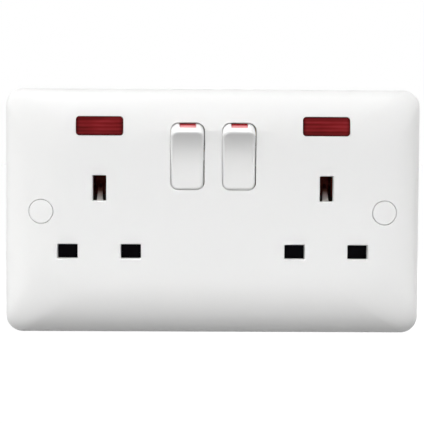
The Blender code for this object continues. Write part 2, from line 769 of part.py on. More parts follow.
def rocker_profile():
    """The rocker's side view as (y, z) points about its pivot, wider than its ends, which are round."""
    wide = ROCKER_RADIUS + PAST
    points = [(PADDLE_Y, -wide)]
    for step in range(DISH_STEPS + 1):
        t = step / DISH_STEPS
        points.append((PADDLE_Y + rocker_dish(t), ROCKER_HALF_LENGTH * (2 * t - 1)))
    points += [(PADDLE_Y, wide), (SKIRT_Y, wide), (SKIRT_Y, EAR_ROOT_HALF), (EAR_Y, EAR_HALF)]
    points += [(EAR_Y, -EAR_HALF), (SKIRT_Y, -EAR_ROOT_HALF), (SKIRT_Y, -wide)]
    return points


def side_prism(name, outline, half_width):
    """A solid of this (y, z) outline, from x = -half_width to half_width."""
    rings = [[(x, y, z) for y, z in outline] for x in (-half_width, half_width)]
    return loft(name, rings)


def barrel():
    """A rounded block whose ends are arcs about the pivot."""
    half_width = APERTURE_WIDTH / 2 - ROCKER_GAP
    length = EAR_Y + PAST - BARREL_FRONT
    rings = []
    for step in range(BARREL_STEPS + 1):
        y = BARREL_FRONT + length * step / BARREL_STEPS
        half_height = math.sqrt(ROCKER_RADIUS**2 - y**2)
        rings.append(rounded_ring(0, 0, half_width, half_height, ROCKER_CORNER, y))
    return loft("barrel", rings)


def flag_band(name, inner, outer, start, end, half_width):
    """A curved bar round the pivot, at the rocker's upper end."""
    steps = 5
    angles = [start + (end - start) * step / steps for step in range(steps + 1)]
    outline = [(-outer * math.cos(a), outer * math.sin(a)) for a in angles]
    outline += [(-inner * math.cos(a), inner * math.sin(a)) for a in reversed(angles)]
    return side_prism(name, outline, half_width)


def rocker_body():
    half_width = APERTURE_WIDTH / 2 - ROCKER_GAP
    wall = half_width - ROCKER_SKIN
    pocket_end = ROCKER_HALF_LENGTH - ROCKER_END_WALL
    pocket_y = PADDLE_Y + max(rocker_dish(step / DISH_STEPS) for step in range(DISH_STEPS)) + ROCKER_SKIN
    body = common(barrel(), side_prism("rocker_profile", rocker_profile(), half_width + PAST))
    body = cut(body, block("pocket", (-wall, pocket_y, -pocket_end), (wall, EAR_Y + PAST, pocket_end)))
    body = joined(body, rod("stem", (0, pocket_y - PAST, 0), (0, STEM_REACH, 0), STEM_RADIUS))
    for sign in (-1, 1):
        start = (sign * (half_width - PAST), 0, 0)
        end = (sign * (half_width + TRUNNION_LENGTH), 0, 0)
        body = joined(body, rod("trunnion", start, end, TRUNNION_RADIUS))
    body = cut(body, rod("bore", (0, BORE_START, 0), (0, STEM_REACH + PAST, 0), STEM_BORE))
    slack = LENS_GAP / ROCKER_RADIUS
    seat = flag_band(
        "flag_seat", ROCKER_RADIUS - FLAG_DEPTH - LENS_GAP, ROCKER_RADIUS + PAST,
        FLAG_START - slack, FLAG_END + slack, FLAG_WIDTH / 2 + LENS_GAP,
    )
    return cut(body, seat)


def plunger_profile():
    tip_start = PLUNGER_TIP - PLUNGER_RADIUS
    profile = [(0, PLUNGER_TAIL), (PLUNGER_RADIUS, PLUNGER_TAIL), (PLUNGER_RADIUS, tip_start)]
    for step in range(1, 5):
        angle = math.pi / 2 * step / 4
        profile.append((PLUNGER_RADIUS * math.cos(angle), tip_start + PLUNGER_RADIUS * math.sin(angle)))
    profile[-1] = (0, PLUNGER_TIP)
    return profile


def coil(name, radius, wire_radius, turns, start, end, steps=9):
    """A helix about the Y axis from y = start to y = end, measured to the wire's outside."""
    low, high = start + wire_radius, end - wire_radius
    points = []
    for step in range(turns * steps + 1):
        angle = 2 * math.pi * step / steps
        y = low + (high - low) * step / (turns * steps)
        points.append((radius * math.cos(angle), y, radius * math.sin(angle)))
    return wire(name, points, wire_radius, 0)


def rocker(side, x):
    pivot = pivot_empty(f"rocker_pivot_{side}", (x, PIVOT_Y, SWITCH_Z), ROCKER_THROW / 2)
    finish(rocker_body(), f"rocker_{side}", "white_moulding", pivot)
    flag = flag_band("flag", ROCKER_RADIUS - FLAG_DEPTH, ROCKER_RADIUS, FLAG_START, FLAG_END, FLAG_WIDTH / 2)
    finish(flag, f"rocker_flag_{side}", "red_plastic", pivot)
    finish(turned("plunger", plunger_profile(), 12), f"plunger_{side}", "steel", pivot)
    spring = coil(
        "spring", PLUNGER_COIL, PLUNGER_WIRE, PLUNGER_TURNS, BORE_START + CLEARANCE, PLUNGER_TAIL - CLEARANCE
    )
    finish(spring, f"plunger_spring_{side}", "steel", pivot)


def contact_blade(side, x):
    """The see-saw contact, which leans on the live bar's ridge and carries a rivet at its top."""
    pivot = pivot_empty(f"blade_pivot_{side}", (x, BLADE_Y, SWITCH_Z), -BLADE_THROW / 2)
    blade = block(
        "blade", (-BLADE_WIDTH / 2, -STRIP / 2, -BLADE_DOWN), (BLADE_WIDTH / 2, STRIP / 2, BLADE_UP)
    )
    rivet = rod("rivet", (0, 0, RIVET_AT), (0, STRIP / 2 + RIVET_HEIGHT, RIVET_AT), RIVET_RADIUS, 12)
    finish(joined(blade, rivet), f"contact_blade_{side}", "copper", pivot)


# Shutters


def shutter(side, x):
    back = SHUTTER_FRONT + SHUTTER_THICKNESS
    outline = [
        (x - SHUTTER_HALF, SHUTTER_BOTTOM), (x + SHUTTER_HALF, SHUTTER_BOTTOM),
        (x + SHUTTER_HALF, SHUTTER_TOP), (x + SHUTTER_ARM_HALF, SHUTTER_TOP),
        (x + SHUTTER_ARM_HALF, CAM_FOOT - CLEARANCE), (x - SHUTTER_ARM_HALF, CAM_FOOT - CLEARANCE),
        (x - SHUTTER_ARM_HALF, SHUTTER_TOP), (x - SHUTTER_HALF, SHUTTER_TOP),
    ]
    plate = flat_piece("shutter", outline, SHUTTER_FRONT, SHUTTER_THICKNESS)
    finish(plate, f"shutter_{side}", "shutter_plastic")
    cam = [
        (SHUTTER_FRONT, CAM_FOOT), (SHUTTER_FRONT, CAM_NOSE), (CAM_BACK, CAM_TOP),
        (CAM_BACK, CAM_TOP - CAM_TIP), (back, CAM_FOOT),
    ]
    wedge = side_prism("cam", cam, CAM_WIDTH / 2)
    for vert in wedge.data.vertices:
        rise = (vert.co.z - CAM_FOOT) / (CAM_TOP - CAM_FOOT)
        vert.co.x *= 1 - rise * (1 - CAM_TIP_WIDTH / CAM_WIDTH)
    finish(moved(wedge, x=x), f"shutter_cam_{side}", "cam_plastic")


def shutter_spring(side, x):
    """The return spring, upright below the shutter's middle."""
    low = FRAME_BOTTOM + FRAME_RAIL + CLEARANCE
    high = SHUTTER_BOTTOM - CLEARANCE
    spring = coil("spring", SPRING_COIL, SPRING_WIRE, SPRING_TURNS, low, high)
    spring.data.transform(Matrix.Rotation(math.pi / 2, 4, "X"))
    moved(spring, x=x, y=SHUTTER_FRONT + SHUTTER_THICKNESS / 2)
    finish(spring, f"shutter_spring_{side}", "steel")


def shutter_frame(side, x):
    """The tray that the shutter slides in, held between the plate and the housing."""
    outline = [
        (x - FRAME_HALF, FRAME_BOTTOM), (x + FRAME_HALF, FRAME_BOTTOM),
        (x + FRAME_HALF, FRAME_SHOULDER), (x + FRAME_NECK_HALF, FRAME_SHOULDER),
        (x + FRAME_NECK_HALF, FRAME_TOP), (x - FRAME_NECK_HALF, FRAME_TOP),
        (x - FRAME_NECK_HALF, FRAME_SHOULDER), (x - FRAME_HALF, FRAME_SHOULDER),
    ]
    frame = flat_piece("frame", outline, FRAME_BASE, FRAME_THICKNESS)
    walls = []
    for sign in (-1, 1):
        near, far = x + sign * FRAME_HALF, x + sign * (FRAME_HALF - FRAME_RAIL)
        walls.append(
            block(
                "rail", (min(near, far), FRAME_FRONT, FRAME_BOTTOM),
                (max(near, far), FRAME_BACK, FRAME_SHOULDER),
            )
        )
    inner = FRAME_HALF - FRAME_RAIL / 2
    walls.append(
        block(
            "seat", (x - inner, FRAME_FRONT, FRAME_BOTTOM),
            (x + inner, FRAME_BACK, FRAME_BOTTOM + FRAME_RAIL),
        )
    )
    for wall in walls:
        frame = joined(frame, wall)
    holes = []
    margin = 2 * CLEARANCE
    for sign in (-1, 1):
        pin_x = x + sign * PIN_SPACING / 2
        half_x, half_z = LIVE_SLOT[0] / 2 + margin, LIVE_SLOT[1] / 2 + margin
        holes.append(
            block(
                "pin_hole",
                (pin_x - half_x, FRAME_BASE - PAST, PIN_ROW_Z - half_z),
                (pin_x + half_x, FRAME_BACK + PAST, PIN_ROW_Z + half_z),
            )
        )
    half_x = EARTH_SLOT[0] / 2 + CLEARANCE
    low = CAM_FOOT - SHUTTER_TRAVEL - 2 * margin
    high = EARTH_Z + EARTH_SLOT[1] / 2 + CLEARANCE
    corners = (x - half_x, FRAME_BASE - PAST, low), (x + half_x, FRAME_BACK + PAST, high)
    holes.append(block("cam_hole", *corners))
    finish(cut(frame, group("frame_holes", holes)), f"shutter_frame_{side}", "shutter_plastic")


# Contacts and bars


def pin_clip(name, x, back):
    """Two leaves above and below a live or neutral pin, on a base whose back is at this y."""
    gap = LIVE_PIN[1] / 2 + CLIP_GRIP
    outer = gap + STRIP
    low, high = PIN_ROW_Z - outer, PIN_ROW_Z + outer
    body = block(name, (x - CLIP_HALF, CLIP_FRONT, low), (x + CLIP_HALF, back, high))
    hollow = block(
        f"{name}_hollow",
        (x - CLIP_HALF - PAST, CLIP_FRONT - PAST, PIN_ROW_Z - gap),
        (x + CLIP_HALF + PAST, back - STRIP, PIN_ROW_Z + gap),
    )
    return cut(body, hollow)


def fixed_rivet(x):
    """The fixed contact, just behind the see-saw's rivet when the switch is on."""
    tilt = BLADE_THROW / 2
    z = SWITCH_Z + RIVET_AT * math.cos(tilt) - (STRIP / 2 + RIVET_HEIGHT) * math.sin(tilt)
    front = BLADE_Y + RIVET_AT * math.sin(tilt) + (STRIP / 2 + RIVET_HEIGHT) * math.cos(tilt) + 2 * CLEARANCE
    return rod("fixed_rivet", (x, front, z), (x, LIVE_STRAP_Y + STRIP / 2, z), RIVET_RADIUS, 12)


def live_contact(side, path, clip_x, rivet_x):
    strap = flat_piece("live_strap", strap_outline(path, STRAP_HALF), LIVE_STRAP_Y, STRIP)
    strap = joined(strap, pin_clip("live_clip", clip_x, LIVE_STRAP_Y + STRIP))
    strap = joined(strap, fixed_rivet(rivet_x))
    finish(strap, f"live_contact_{side}", "brass")


def live_contacts():
    start = SWITCH_X - RIVET_RADIUS * 2
    left = [
        (-start, STRAP_Z), (LEFT_DROP_X, STRAP_Z), (LEFT_DROP_X, PIN_ROW_Z),
        (LEFT_CLIP_X - CLIP_HALF, PIN_ROW_Z),
    ]
    live_contact("left", left, LEFT_CLIP_X, -SWITCH_X)
    right = [
        (start, STRAP_Z), (RIGHT_STEP_X, STRAP_Z), (RIGHT_STEP_X, LIVE_RUN_Z),
        (RIGHT_DROP_X, LIVE_RUN_Z), (RIGHT_DROP_X, PIN_ROW_Z),
    ]
    live_contact("right", right, RIGHT_CLIP_X, SWITCH_X)


def live_bar():
    stem = flat_piece(
        "live_bar",
        strap_outline(
            [(TERMINALS["live"], BLOCK_TOP + CLEARANCE), (TERMINALS["live"], SWITCH_Z)], STRAP_HALF,
        ),
        LIVE_BAR_Y, STRIP,
    )
    reach = SWITCH_X + BLADE_WIDTH / 2
    arm = block(
        "live_arm",
        (-reach, LIVE_BAR_Y, SWITCH_Z - STRAP_HALF),
        (reach, LIVE_BAR_Y + STRIP, SWITCH_Z + STRAP_HALF),
    )
    bar = joined(stem, arm)
    for sign in SIDES.values():
        ridge = block(
            "ridge",
            (sign * SWITCH_X - BLADE_WIDTH / 2 + PAST, RIDGE_Y, SWITCH_Z - STRIP / 2),
            (sign * SWITCH_X + BLADE_WIDTH / 2 - PAST, LIVE_BAR_Y + STRIP / 2, SWITCH_Z + STRIP / 2),
        )
        bar = joined(bar, ridge)
    finish(bar, "live_bar", "brass")


def neutral_bar():
    left_x = -SOCKET_X - PIN_SPACING / 2
    right_x = SOCKET_X - PIN_SPACING / 2
    lead_x = SOCKET_X + LEAD_DROP_X
    path = [(left_x - CLIP_HALF, NEUTRAL_BAR_Z), (lead_x + STRAP_HALF, NEUTRAL_BAR_Z)]
    bar = flat_piece("neutral_bar", strap_outline(path, STRAP_HALF), NEUTRAL_BAR_Y, STRIP)
    back = NEUTRAL_BAR_Y + STRIP
    for x in (left_x, right_x):
        tab = block(
            "neutral_tab", (x - CLIP_HALF, NEUTRAL_BAR_Y, NEUTRAL_BAR_Z), (x + CLIP_HALF, back, PIN_ROW_Z)
        )
        bar = joined(bar, tab)
        bar = joined(bar, pin_clip("neutral_clip", x, back))
    x = TERMINALS["neutral"]
    leg = block(
        "neutral_leg", (x - STRAP_HALF, NEUTRAL_BAR_Y, BLOCK_TOP + CLEARANCE),
        (x + STRAP_HALF, back, NEUTRAL_BAR_Z),
    )
    finish(joined(bar, leg), "neutral_bar", "brass")


def earth_clip(x):
    gap = EARTH_PIN[0] / 2 + CLIP_GRIP
    outer = gap + STRIP
    low, high = EARTH_Z - EARTH_CLIP_HALF, EARTH_Z + EARTH_CLIP_HALF
    body = block("earth_clip", (x - outer, EARTH_CLIP_FRONT, low), (x + outer, EARTH_BAR_Y + STRIP, high))
    hollow = block(
        "earth_hollow", (x - gap, EARTH_CLIP_FRONT - PAST, low - PAST), (x + gap, EARTH_BAR_Y, high + PAST)
    )
    return cut(body, hollow)


def earth_bar():
    left, right = TERMINALS["earth_left"], TERMINALS["earth_right"]
    foot, branch = BLOCK_TOP + CLEARANCE, EARTH_ARM_Z
    reach = SOCKET_X + EARTH_PIN[0] / 2
    bar = flat_piece(
        "earth_bar", strap_outline([(-reach, EARTH_Z), (reach, EARTH_Z)], STRAP_HALF), EARTH_BAR_Y, STRIP
    )
    leg_path = strap_outline([(right, EARTH_Z), (right, foot)], STRAP_HALF)
    leg = flat_piece("earth_leg", leg_path, EARTH_BAR_Y, STRIP)
    arm = flat_piece(
        "earth_arm", strap_outline([(right, branch), (left, branch), (left, foot)], STRAP_HALF),
        EARTH_BAR_Y, STRIP,
    )
    for piece in (leg, arm):
        bar = joined(bar, piece)
    for sign in SIDES.values():
        bar = joined(bar, earth_clip(sign * SOCKET_X))
    finish(bar, "earth_bar", "brass")


def terminal(name, x):
    body = block(
        "terminal", (x - BLOCK_HALF, BLOCK_FRONT, BLOCK_BOTTOM), (x + BLOCK_HALF, BLOCK_BACK, BLOCK_TOP),
    )
    body = cut(
        body,
        rod(
            "wire_bore", (x, WIRE_BORE_Y, BLOCK_BOTTOM - PAST), (x, WIRE_BORE_Y, WIRE_BORE_TOP),
            WIRE_BORE_RADIUS,
        ),
    )
    thread = TERMINAL_SCREW_RADIUS + CLEARANCE / 2
    body = cut(
        body,
        rod(
            "thread", (x, WIRE_BORE_Y, TERMINAL_SCREW_Z), (x, BLOCK_BACK + PAST, TERMINAL_SCREW_Z),
            thread, 12,
        ),
    )
    finish(body, f"terminal_{name}", "brass")
    seat = BLOCK_BACK + CLEARANCE
    head_back = seat + TERMINAL_HEAD
    tip = WIRE_BORE_Y + WIRE_BORE_RADIUS + CLEARANCE
    profile = [
        (0, tip), (TERMINAL_SCREW_RADIUS, tip), (TERMINAL_SCREW_RADIUS, seat),
        (TERMINAL_HEAD_RADIUS, seat), (TERMINAL_HEAD_RADIUS, head_back), (0, head_back),
    ]
    screw = moved(turned("screw", profile, 12), x=x, z=TERMINAL_SCREW_Z)
    slot = block(
        "slot",
        (x - TERMINAL_HEAD_RADIUS - PAST, head_back - TERMINAL_SLOT, TERMINAL_SCREW_Z - TERMINAL_SLOT / 2),
        (x + TERMINAL_HEAD_RADIUS + PAST, head_back + PAST, TERMINAL_SCREW_Z + TERMINAL_SLOT / 2),
    )
    finish(cut(screw, slot), f"terminal_screw_{name}", "steel")


# Neon indicators


def lamp_y():
    """The lamp's axis, just behind the lens's flange."""
    return LENS_FLANGE_FRONT + LENS_FLANGE_THICKNESS + CLEARANCE + LAMP_RADIUS


def lamp(side, x):
    half, neck = LAMP_LENGTH / 2, LAMP_RADIUS * 0.45
    profile = [
        (0, -half), (neck, -half), (neck, -half + LAMP_NECK), (LAMP_RADIUS, -half + LAMP_SHOULDER),
        (LAMP_RADIUS, half - LAMP_SHOULDER), (neck, half - LAMP_NECK), (neck, half), (0, half),
    ]
    tube = turned("lamp", profile)
    tube.data.transform(Matrix.Rotation(math.pi / 2, 4, "Z"))
    finish(moved(tube, x=x, y=lamp_y(), z=LENS_Z), f"neon_lamp_{side}", "glass")


def resistor(side, x):
    half, waist = RESISTOR_LENGTH / 2, RESISTOR_RADIUS * 0.82
    profile = [
        (0, -half), (RESISTOR_RADIUS, -half), (RESISTOR_RADIUS, -half + RESISTOR_CAP),
        (waist, -half + RESISTOR_SHOULDER), (waist, half - RESISTOR_SHOULDER),
        (RESISTOR_RADIUS, half - RESISTOR_CAP), (RESISTOR_RADIUS, half), (0, half),
    ]
    tube = turned("resistor", profile, 12)
    tube.data.transform(Matrix.Rotation(math.pi / 2, 4, "Z"))
    finish(moved(tube, x=x, y=RESISTOR_Y, z=RESISTOR_Z), f"resistor_{side}", "resistor_body")


def lamp_leads(side, x, tap):
    """The lamp's wires: to the resistor, from it to the switched live strap, and to the neutral bar."""
    lamp_end = LAMP_LENGTH / 2 + CLEARANCE
    resistor_end = RESISTOR_LENGTH / 2 + CLEARANCE
    out = lamp_end + LEAD_BEND
    to_resistor = [
        (x - lamp_end, lamp_y(), LENS_Z), (x - out, lamp_y(), LENS_Z),
        (x - out, lamp_y() + LEAD_STEP_BACK, LENS_Z - LEAD_STEP_DOWN),
        (x - out, RESISTOR_Y, RESISTOR_Z), (x - resistor_end, RESISTOR_Y, RESISTOR_Z),
    ]
    finish(wire("lead", to_resistor, LEAD_RADIUS), f"lamp_lead_{side}", "steel")
    tap_x, tap_z = tap
    to_live = [
        (x + resistor_end, RESISTOR_Y, RESISTOR_Z), (tap_x, RESISTOR_Y, RESISTOR_Z),
        (tap_x, RESISTOR_Y + LEAD_EASE, tap_z), (tap_x, LIVE_STRAP_Y - CLEARANCE, tap_z),
    ]
    finish(wire("lead", to_live, LEAD_RADIUS), f"live_lead_{side}", "steel")
    drop = x + LEAD_DROP_X
    to_neutral = [
        (x + lamp_end, lamp_y(), LENS_Z), (x + out, lamp_y(), LENS_Z),
        (x + out, LEAD_DROP_Y - LEAD_EASE / 2, LENS_Z - LEAD_EASE),
        (drop, LEAD_DROP_Y, RESISTOR_Z - 2 * LEAD_EASE), (drop, LEAD_DROP_Y, NEUTRAL_BAR_Z + LEAD_EASE),
        (drop, LEAD_DROP_Y + LEAD_EASE, NEUTRAL_BAR_Z), (drop, NEUTRAL_BAR_Y - CLEARANCE, NEUTRAL_BAR_Z),
    ]
    finish(wire("lead", to_neutral, LEAD_RADIUS), f"neutral_lead_{side}", "steel")


# Rear housing


def notched_block(name, inset, front, back):
    """The housing's outline, this far inside its outer faces, with a notch at each end."""
    half, low, high = HOUSING_HALF - inset, HOUSING_BOTTOM + inset, HOUSING_TOP - inset
    body = block(name, (-half, front, low), (half, back, high))
    notches = []
    for sign in SIDES.values():
        near, far = sign * (NOTCH_X - inset), sign * (HOUSING_HALF + PAST)
        reach = NOTCH_HALF + inset
        notches.append(
            block("notch", (min(near, far), front - PAST, -reach), (max(near, far), back + PAST, reach))
        )
    return cut(body, group("notches", notches))


def strap_posts():
    """Where the floor carries a strip: its place and the y of the post's front."""
    strap, neutral, bar = (y + STRIP + CLEARANCE for y in (LIVE_STRAP_Y, NEUTRAL_BAR_Y, LIVE_BAR_Y))
    return [
        (LEFT_DROP_X, SWITCH_Z, strap), (LEFT_DROP_X, EARTH_Z - EARTH_CLIP_HALF * 2, strap),
        (RIGHT_STEP_X, (STRAP_Z + LIVE_RUN_Z) / 2, strap),
        ((RIGHT_STEP_X + RIGHT_DROP_X) / 2, LIVE_RUN_Z, strap),
        (RIGHT_DROP_X, EARTH_Z - EARTH_CLIP_HALF * 2, strap),
        (-SOCKET_X, NEUTRAL_BAR_Z, neutral), (SOCKET_X, NEUTRAL_BAR_Z, neutral),
        (TERMINALS["live"], EARTH_Z - EARTH_CLIP_HALF * 2, bar), (TERMINALS["live"], SWITCH_Z, bar),
    ]


def back_ribs(back):
    """Ribs on the housing's back: one lengthwise and one behind each live or neutral contact."""
    half, low, high = HOUSING_HALF - RIB_INSET, HOUSING_BOTTOM + RIB_INSET, HOUSING_TOP - RIB_INSET / 2
    ribs = [
        block(
            "rib", (-half, back - PAST, EARTH_Z - RIB_HALF),
            (half, back + RIB_HEIGHT, EARTH_Z + RIB_HALF),
        )
    ]
    for sign in SIDES.values():
        for x in (sign * SOCKET_X - PIN_SPACING / 2, sign * SOCKET_X + PIN_SPACING / 2):
            x = max(-half + RIB_HALF, min(half - RIB_HALF, x))
            corners = (x - RIB_HALF, back - PAST, low), (x + RIB_HALF, back + RIB_HEIGHT, high)
            ribs.append(block("rib", *corners))
    return ribs


def rear_housing():
    floor_back = FLOOR_Y + FLOOR_THICKNESS
    body = notched_block("housing", 0.0, HOUSING_FRONT, floor_back)
    body = cut(body, notched_block("housing_hollow", HOUSING_WALL, HOUSING_FRONT - PAST, FLOOR_Y))
    columns, holes, collars = [], [], []
    for name, x, z in housing_screw_places():
        ends = (x, HOUSING_FRONT + CLEARANCE, z), (x, FLOOR_Y + PAST, z)
        columns.append(rod("column", *ends, COLUMN_RADIUS))
        seat = FLOOR_Y - CLEARANCE
        shank, head = HOUSING_SCREW_RADIUS + CLEARANCE, HOUSING_HEAD_RADIUS + CLEARANCE
        profile = [
            (0, HOUSING_FRONT - PAST), (shank, HOUSING_FRONT - PAST), (shank, seat),
            (head, seat), (head, floor_back + PAST), (0, floor_back + PAST),
        ]
        holes.append(moved(turned("screw_hole", profile, 12), x=x, z=z))
    posts = []
    for x, z, front in strap_posts():
        posts.append(rod("post", (x, front, z), (x, FLOOR_Y + PAST, z), POST_RADIUS, 12))
    for x in TERMINALS.values():
        holes.append(
            rod(
                "wire_entry", (x, WIRE_BORE_Y, HOUSING_BOTTOM - PAST),
                (x, WIRE_BORE_Y, HOUSING_BOTTOM + HOUSING_WALL + PAST), WIRE_BORE_RADIUS + CLEARANCE,
            )
        )
        head = TERMINAL_HEAD_RADIUS + CLEARANCE
        start, end = (x, FLOOR_Y - PAST, TERMINAL_SCREW_Z), (x, floor_back + RIB_HEIGHT, TERMINAL_SCREW_Z)
        collars.append(rod("collar", (x, floor_back - PAST, TERMINAL_SCREW_Z), end, head + COLLAR_WALL))
        holes.append(rod("driver_hole", start, (x, floor_back + RIB_HEIGHT + PAST, TERMINAL_SCREW_Z), head))
    body = joined(body, group("columns", columns))
    body = joined(body, group("posts", posts))
    body = joined(body, group("collars", collars))
    for rib in back_ribs(floor_back):
        body = joined(body, rib)
    for hole in holes:
        body = cut(body, hole)
    finish(body, "rear_housing", "housing_plastic")


def housing_screw(name, x, z):
    seat = FLOOR_Y
    head_back = seat + HOUSING_HEAD
    tip = INNER_Y + PAST + 2 * CLEARANCE
    profile = [
        (0, tip), (HOUSING_SCREW_RADIUS * 0.5, tip), (HOUSING_SCREW_RADIUS, tip + HOUSING_SCREW_TIP),
        (HOUSING_SCREW_RADIUS, seat), (HOUSING_HEAD_RADIUS, seat),
        (HOUSING_HEAD_RADIUS, head_back), (0, head_back),
    ]
    screw = moved(turned("screw", profile, 12), x=x, z=z)
    for long_x, long_z in ((CROSS_LONG, CROSS_HALF), (CROSS_HALF, CROSS_LONG)):
        bar = block(
            "cross", (x - long_x, head_back - CROSS_DEPTH, z - long_z),
            (x + long_x, head_back + PAST, z + long_z),
        )
        screw = cut(screw, bar)
    finish(screw, f"housing_screw_{name}", "steel")


def build():
    front_plate()
    rear_housing()
    for side, sign in SIDES.items():
        screw_cap(side, sign * FIXING_SPACING / 2)
        fixing_screw(side, sign * FIXING_SPACING / 2)
        indicator_lens(side, sign * SOCKET_X)
        rocker(side, sign * SWITCH_X)
        contact_blade(side, sign * SWITCH_X)
        shutter(side, sign * SOCKET_X)
        shutter_spring(side, sign * SOCKET_X)
        shutter_frame(side, sign * SOCKET_X)
        lamp(side, sign * SOCKET_X)
        resistor(side, sign * SOCKET_X)
    lamp_leads("left", -SOCKET_X, (LEFT_DROP_X, RESISTOR_Z))
    lamp_leads("right", SOCKET_X, (RIGHT_TAP_X, LIVE_RUN_Z))
    live_contacts()
    live_bar()
    neutral_bar()
    earth_bar()
    for name, x in TERMINALS.items():
        terminal(name, x)
    for name, x, z in housing_screw_places():
        housing_screw(name, x, z)
    bpy.context.view_layer.update()


build()
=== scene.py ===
import json
from math import atan2, copysign, cos, hypot, pi, radians, sin, sqrt

import bmesh
import bpy
from mathutils import Matrix, Vector


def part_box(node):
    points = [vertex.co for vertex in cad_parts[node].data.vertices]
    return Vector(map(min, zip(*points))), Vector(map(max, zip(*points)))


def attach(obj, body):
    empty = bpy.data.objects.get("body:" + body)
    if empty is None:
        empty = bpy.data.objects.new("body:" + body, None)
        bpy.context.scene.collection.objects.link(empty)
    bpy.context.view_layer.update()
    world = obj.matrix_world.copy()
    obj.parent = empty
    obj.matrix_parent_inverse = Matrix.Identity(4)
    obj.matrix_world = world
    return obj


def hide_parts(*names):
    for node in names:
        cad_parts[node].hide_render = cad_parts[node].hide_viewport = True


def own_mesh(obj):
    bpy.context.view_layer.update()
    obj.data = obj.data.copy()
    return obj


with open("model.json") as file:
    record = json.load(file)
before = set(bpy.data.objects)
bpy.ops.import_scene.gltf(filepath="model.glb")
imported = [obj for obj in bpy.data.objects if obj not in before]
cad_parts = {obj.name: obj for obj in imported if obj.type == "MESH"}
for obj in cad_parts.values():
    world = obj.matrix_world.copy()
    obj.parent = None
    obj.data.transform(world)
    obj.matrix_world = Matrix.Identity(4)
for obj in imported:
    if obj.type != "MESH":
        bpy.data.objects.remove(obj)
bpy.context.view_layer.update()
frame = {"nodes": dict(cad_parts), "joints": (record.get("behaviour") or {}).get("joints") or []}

# A white switched double socket, seen from the front: its moulded plate, two rockers with red flags,
# two red indicator lenses, and the works behind them.

sides = ("left", "right")
joints = {joint["name"]: joint for joint in frame["joints"]}
fitGap = 0.0003          # between pieces that sit on each other
cutPast = 0.0005         # how far a cutter runs past what it cuts
bendShare = 0.45         # the most of a side that a rounding takes


def middle(node):
    low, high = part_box(node)
    return (low + high) / 2


def placed(name, data):
    obj = bpy.data.objects.new(name, data)
    bpy.context.scene.collection.objects.link(obj)
    return obj


def clamped(value):
    return min(1.0, max(0.0, value))


# Sines and cosines over a quarter turn.
def quarterTurn(steps, first=0):
    for step in range(first, steps + 1):
        angle = pi / 2 * step / steps
        yield sin(angle), cos(angle)


plateLow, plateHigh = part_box("front_plate")
frontY = plateLow.y
lensPlace = {side: middle(f"indicator_lens_{side}") for side in sides}
earthPlace = {side: middle(f"shutter_cam_{side}") for side in sides}
print("frame loaded:", len(frame["nodes"]), "nodes")


# Camera, at the photograph's angle

cameraPlace = {
    "azimuth": -1.04, "elevation": 3.66, "roll": 0.357,   # degrees
    "distance": 0.676, "lens": 161.4, "sensor": 36.0,
    "aimX": -0.00017, "aimZ": -0.0005,
}


def makeCamera():
    azimuth, elevation = (radians(cameraPlace[key]) for key in ("azimuth", "elevation"))
    back = Vector((sin(azimuth) * cos(elevation), -cos(azimuth) * cos(elevation), sin(elevation)))
    data = bpy.data.cameras.new("camera")
    data.lens, data.sensor_width = cameraPlace["lens"], cameraPlace["sensor"]
    data.clip_start, data.clip_end = 0.01, 20.0
    camera = placed("camera", data)
    camera.rotation_mode = "QUATERNION"
    aim = Vector((cameraPlace["aimX"], 0, cameraPlace["aimZ"]))
    camera.location = aim + back * cameraPlace["distance"]
    roll = Matrix.Rotation(radians(cameraPlace["roll"]), 3, "Z").to_quaternion()
    camera.rotation_quaternion = (-back).to_track_quat("-Z", "Y") @ roll
    bpy.context.scene.camera = camera


# Nodes


# Sets a node's inputs. Another node's output is linked, and anything else is the input's value.
def fill(tree, node, inputs):
    for key, value in inputs.items():
        if isinstance(value, bpy.types.NodeSocket):
            tree.links.new(value, node.inputs[key])
        else:
            node.inputs[key].default_value = value
    return node


def newNode(tree, kind, inputs=None, **settings):
    node = tree.nodes.new(kind)
    for key, value in settings.items():
        setattr(node, key, value)
    return fill(tree, node, inputs or {})


# The result of an operation on numbers or on other nodes' outputs.
def worked(tree, operation, *values):
    return newNode(tree, "ShaderNodeMath", dict(enumerate(values)), operation=operation).outputs[0]


# Stage and light

studio = {
    "floorDrop": 0.060,          # below the plate's lower edge
    "floorSize": 6.0, "floorColour": (0.16, 0.16, 0.16), "floorGlow": 0.97,
    "ambient": 0.13,             # what the world gives to everything but the camera, gloss and glass
}
lamps = {
    # place, aim, size, spread in degrees, power
    # the key is a long soft box high above the plate, whose beam fades towards the plate's upper edge
    "key": ((-0.03, -0.139, 0.231), (-0.025, 0, -0.088), (0.66, 0.10), 32.6, 0.23),
    "fill": ((-0.22, -0.98, -0.02), (0, 0, -0.036), (0.5, 0.3), 180, 1.0),
    "left": ((-0.93, -0.37, 0.0), (0, 0, 0), (0.9, 0.9), 180, 10.9),
    "right": ((0.79, -0.60, 0.16), (0, 0, 0), (0.9, 0.9), 180, 6.0),
    "back": ((0.45, 0.75, 0.15), (0, 0, 0), (0.8, 0.8), 180, 5.0),
}


# 1 for a ray from the camera, or by way of gloss or glass.
def lookedAt(tree):
    path = tree.nodes.new("ShaderNodeLightPath").outputs
    total = path["Is Camera Ray"]
    for name in ("Is Glossy Ray", "Is Transmission Ray"):
        total = worked(tree, "MAXIMUM", total, path[name])
    return total


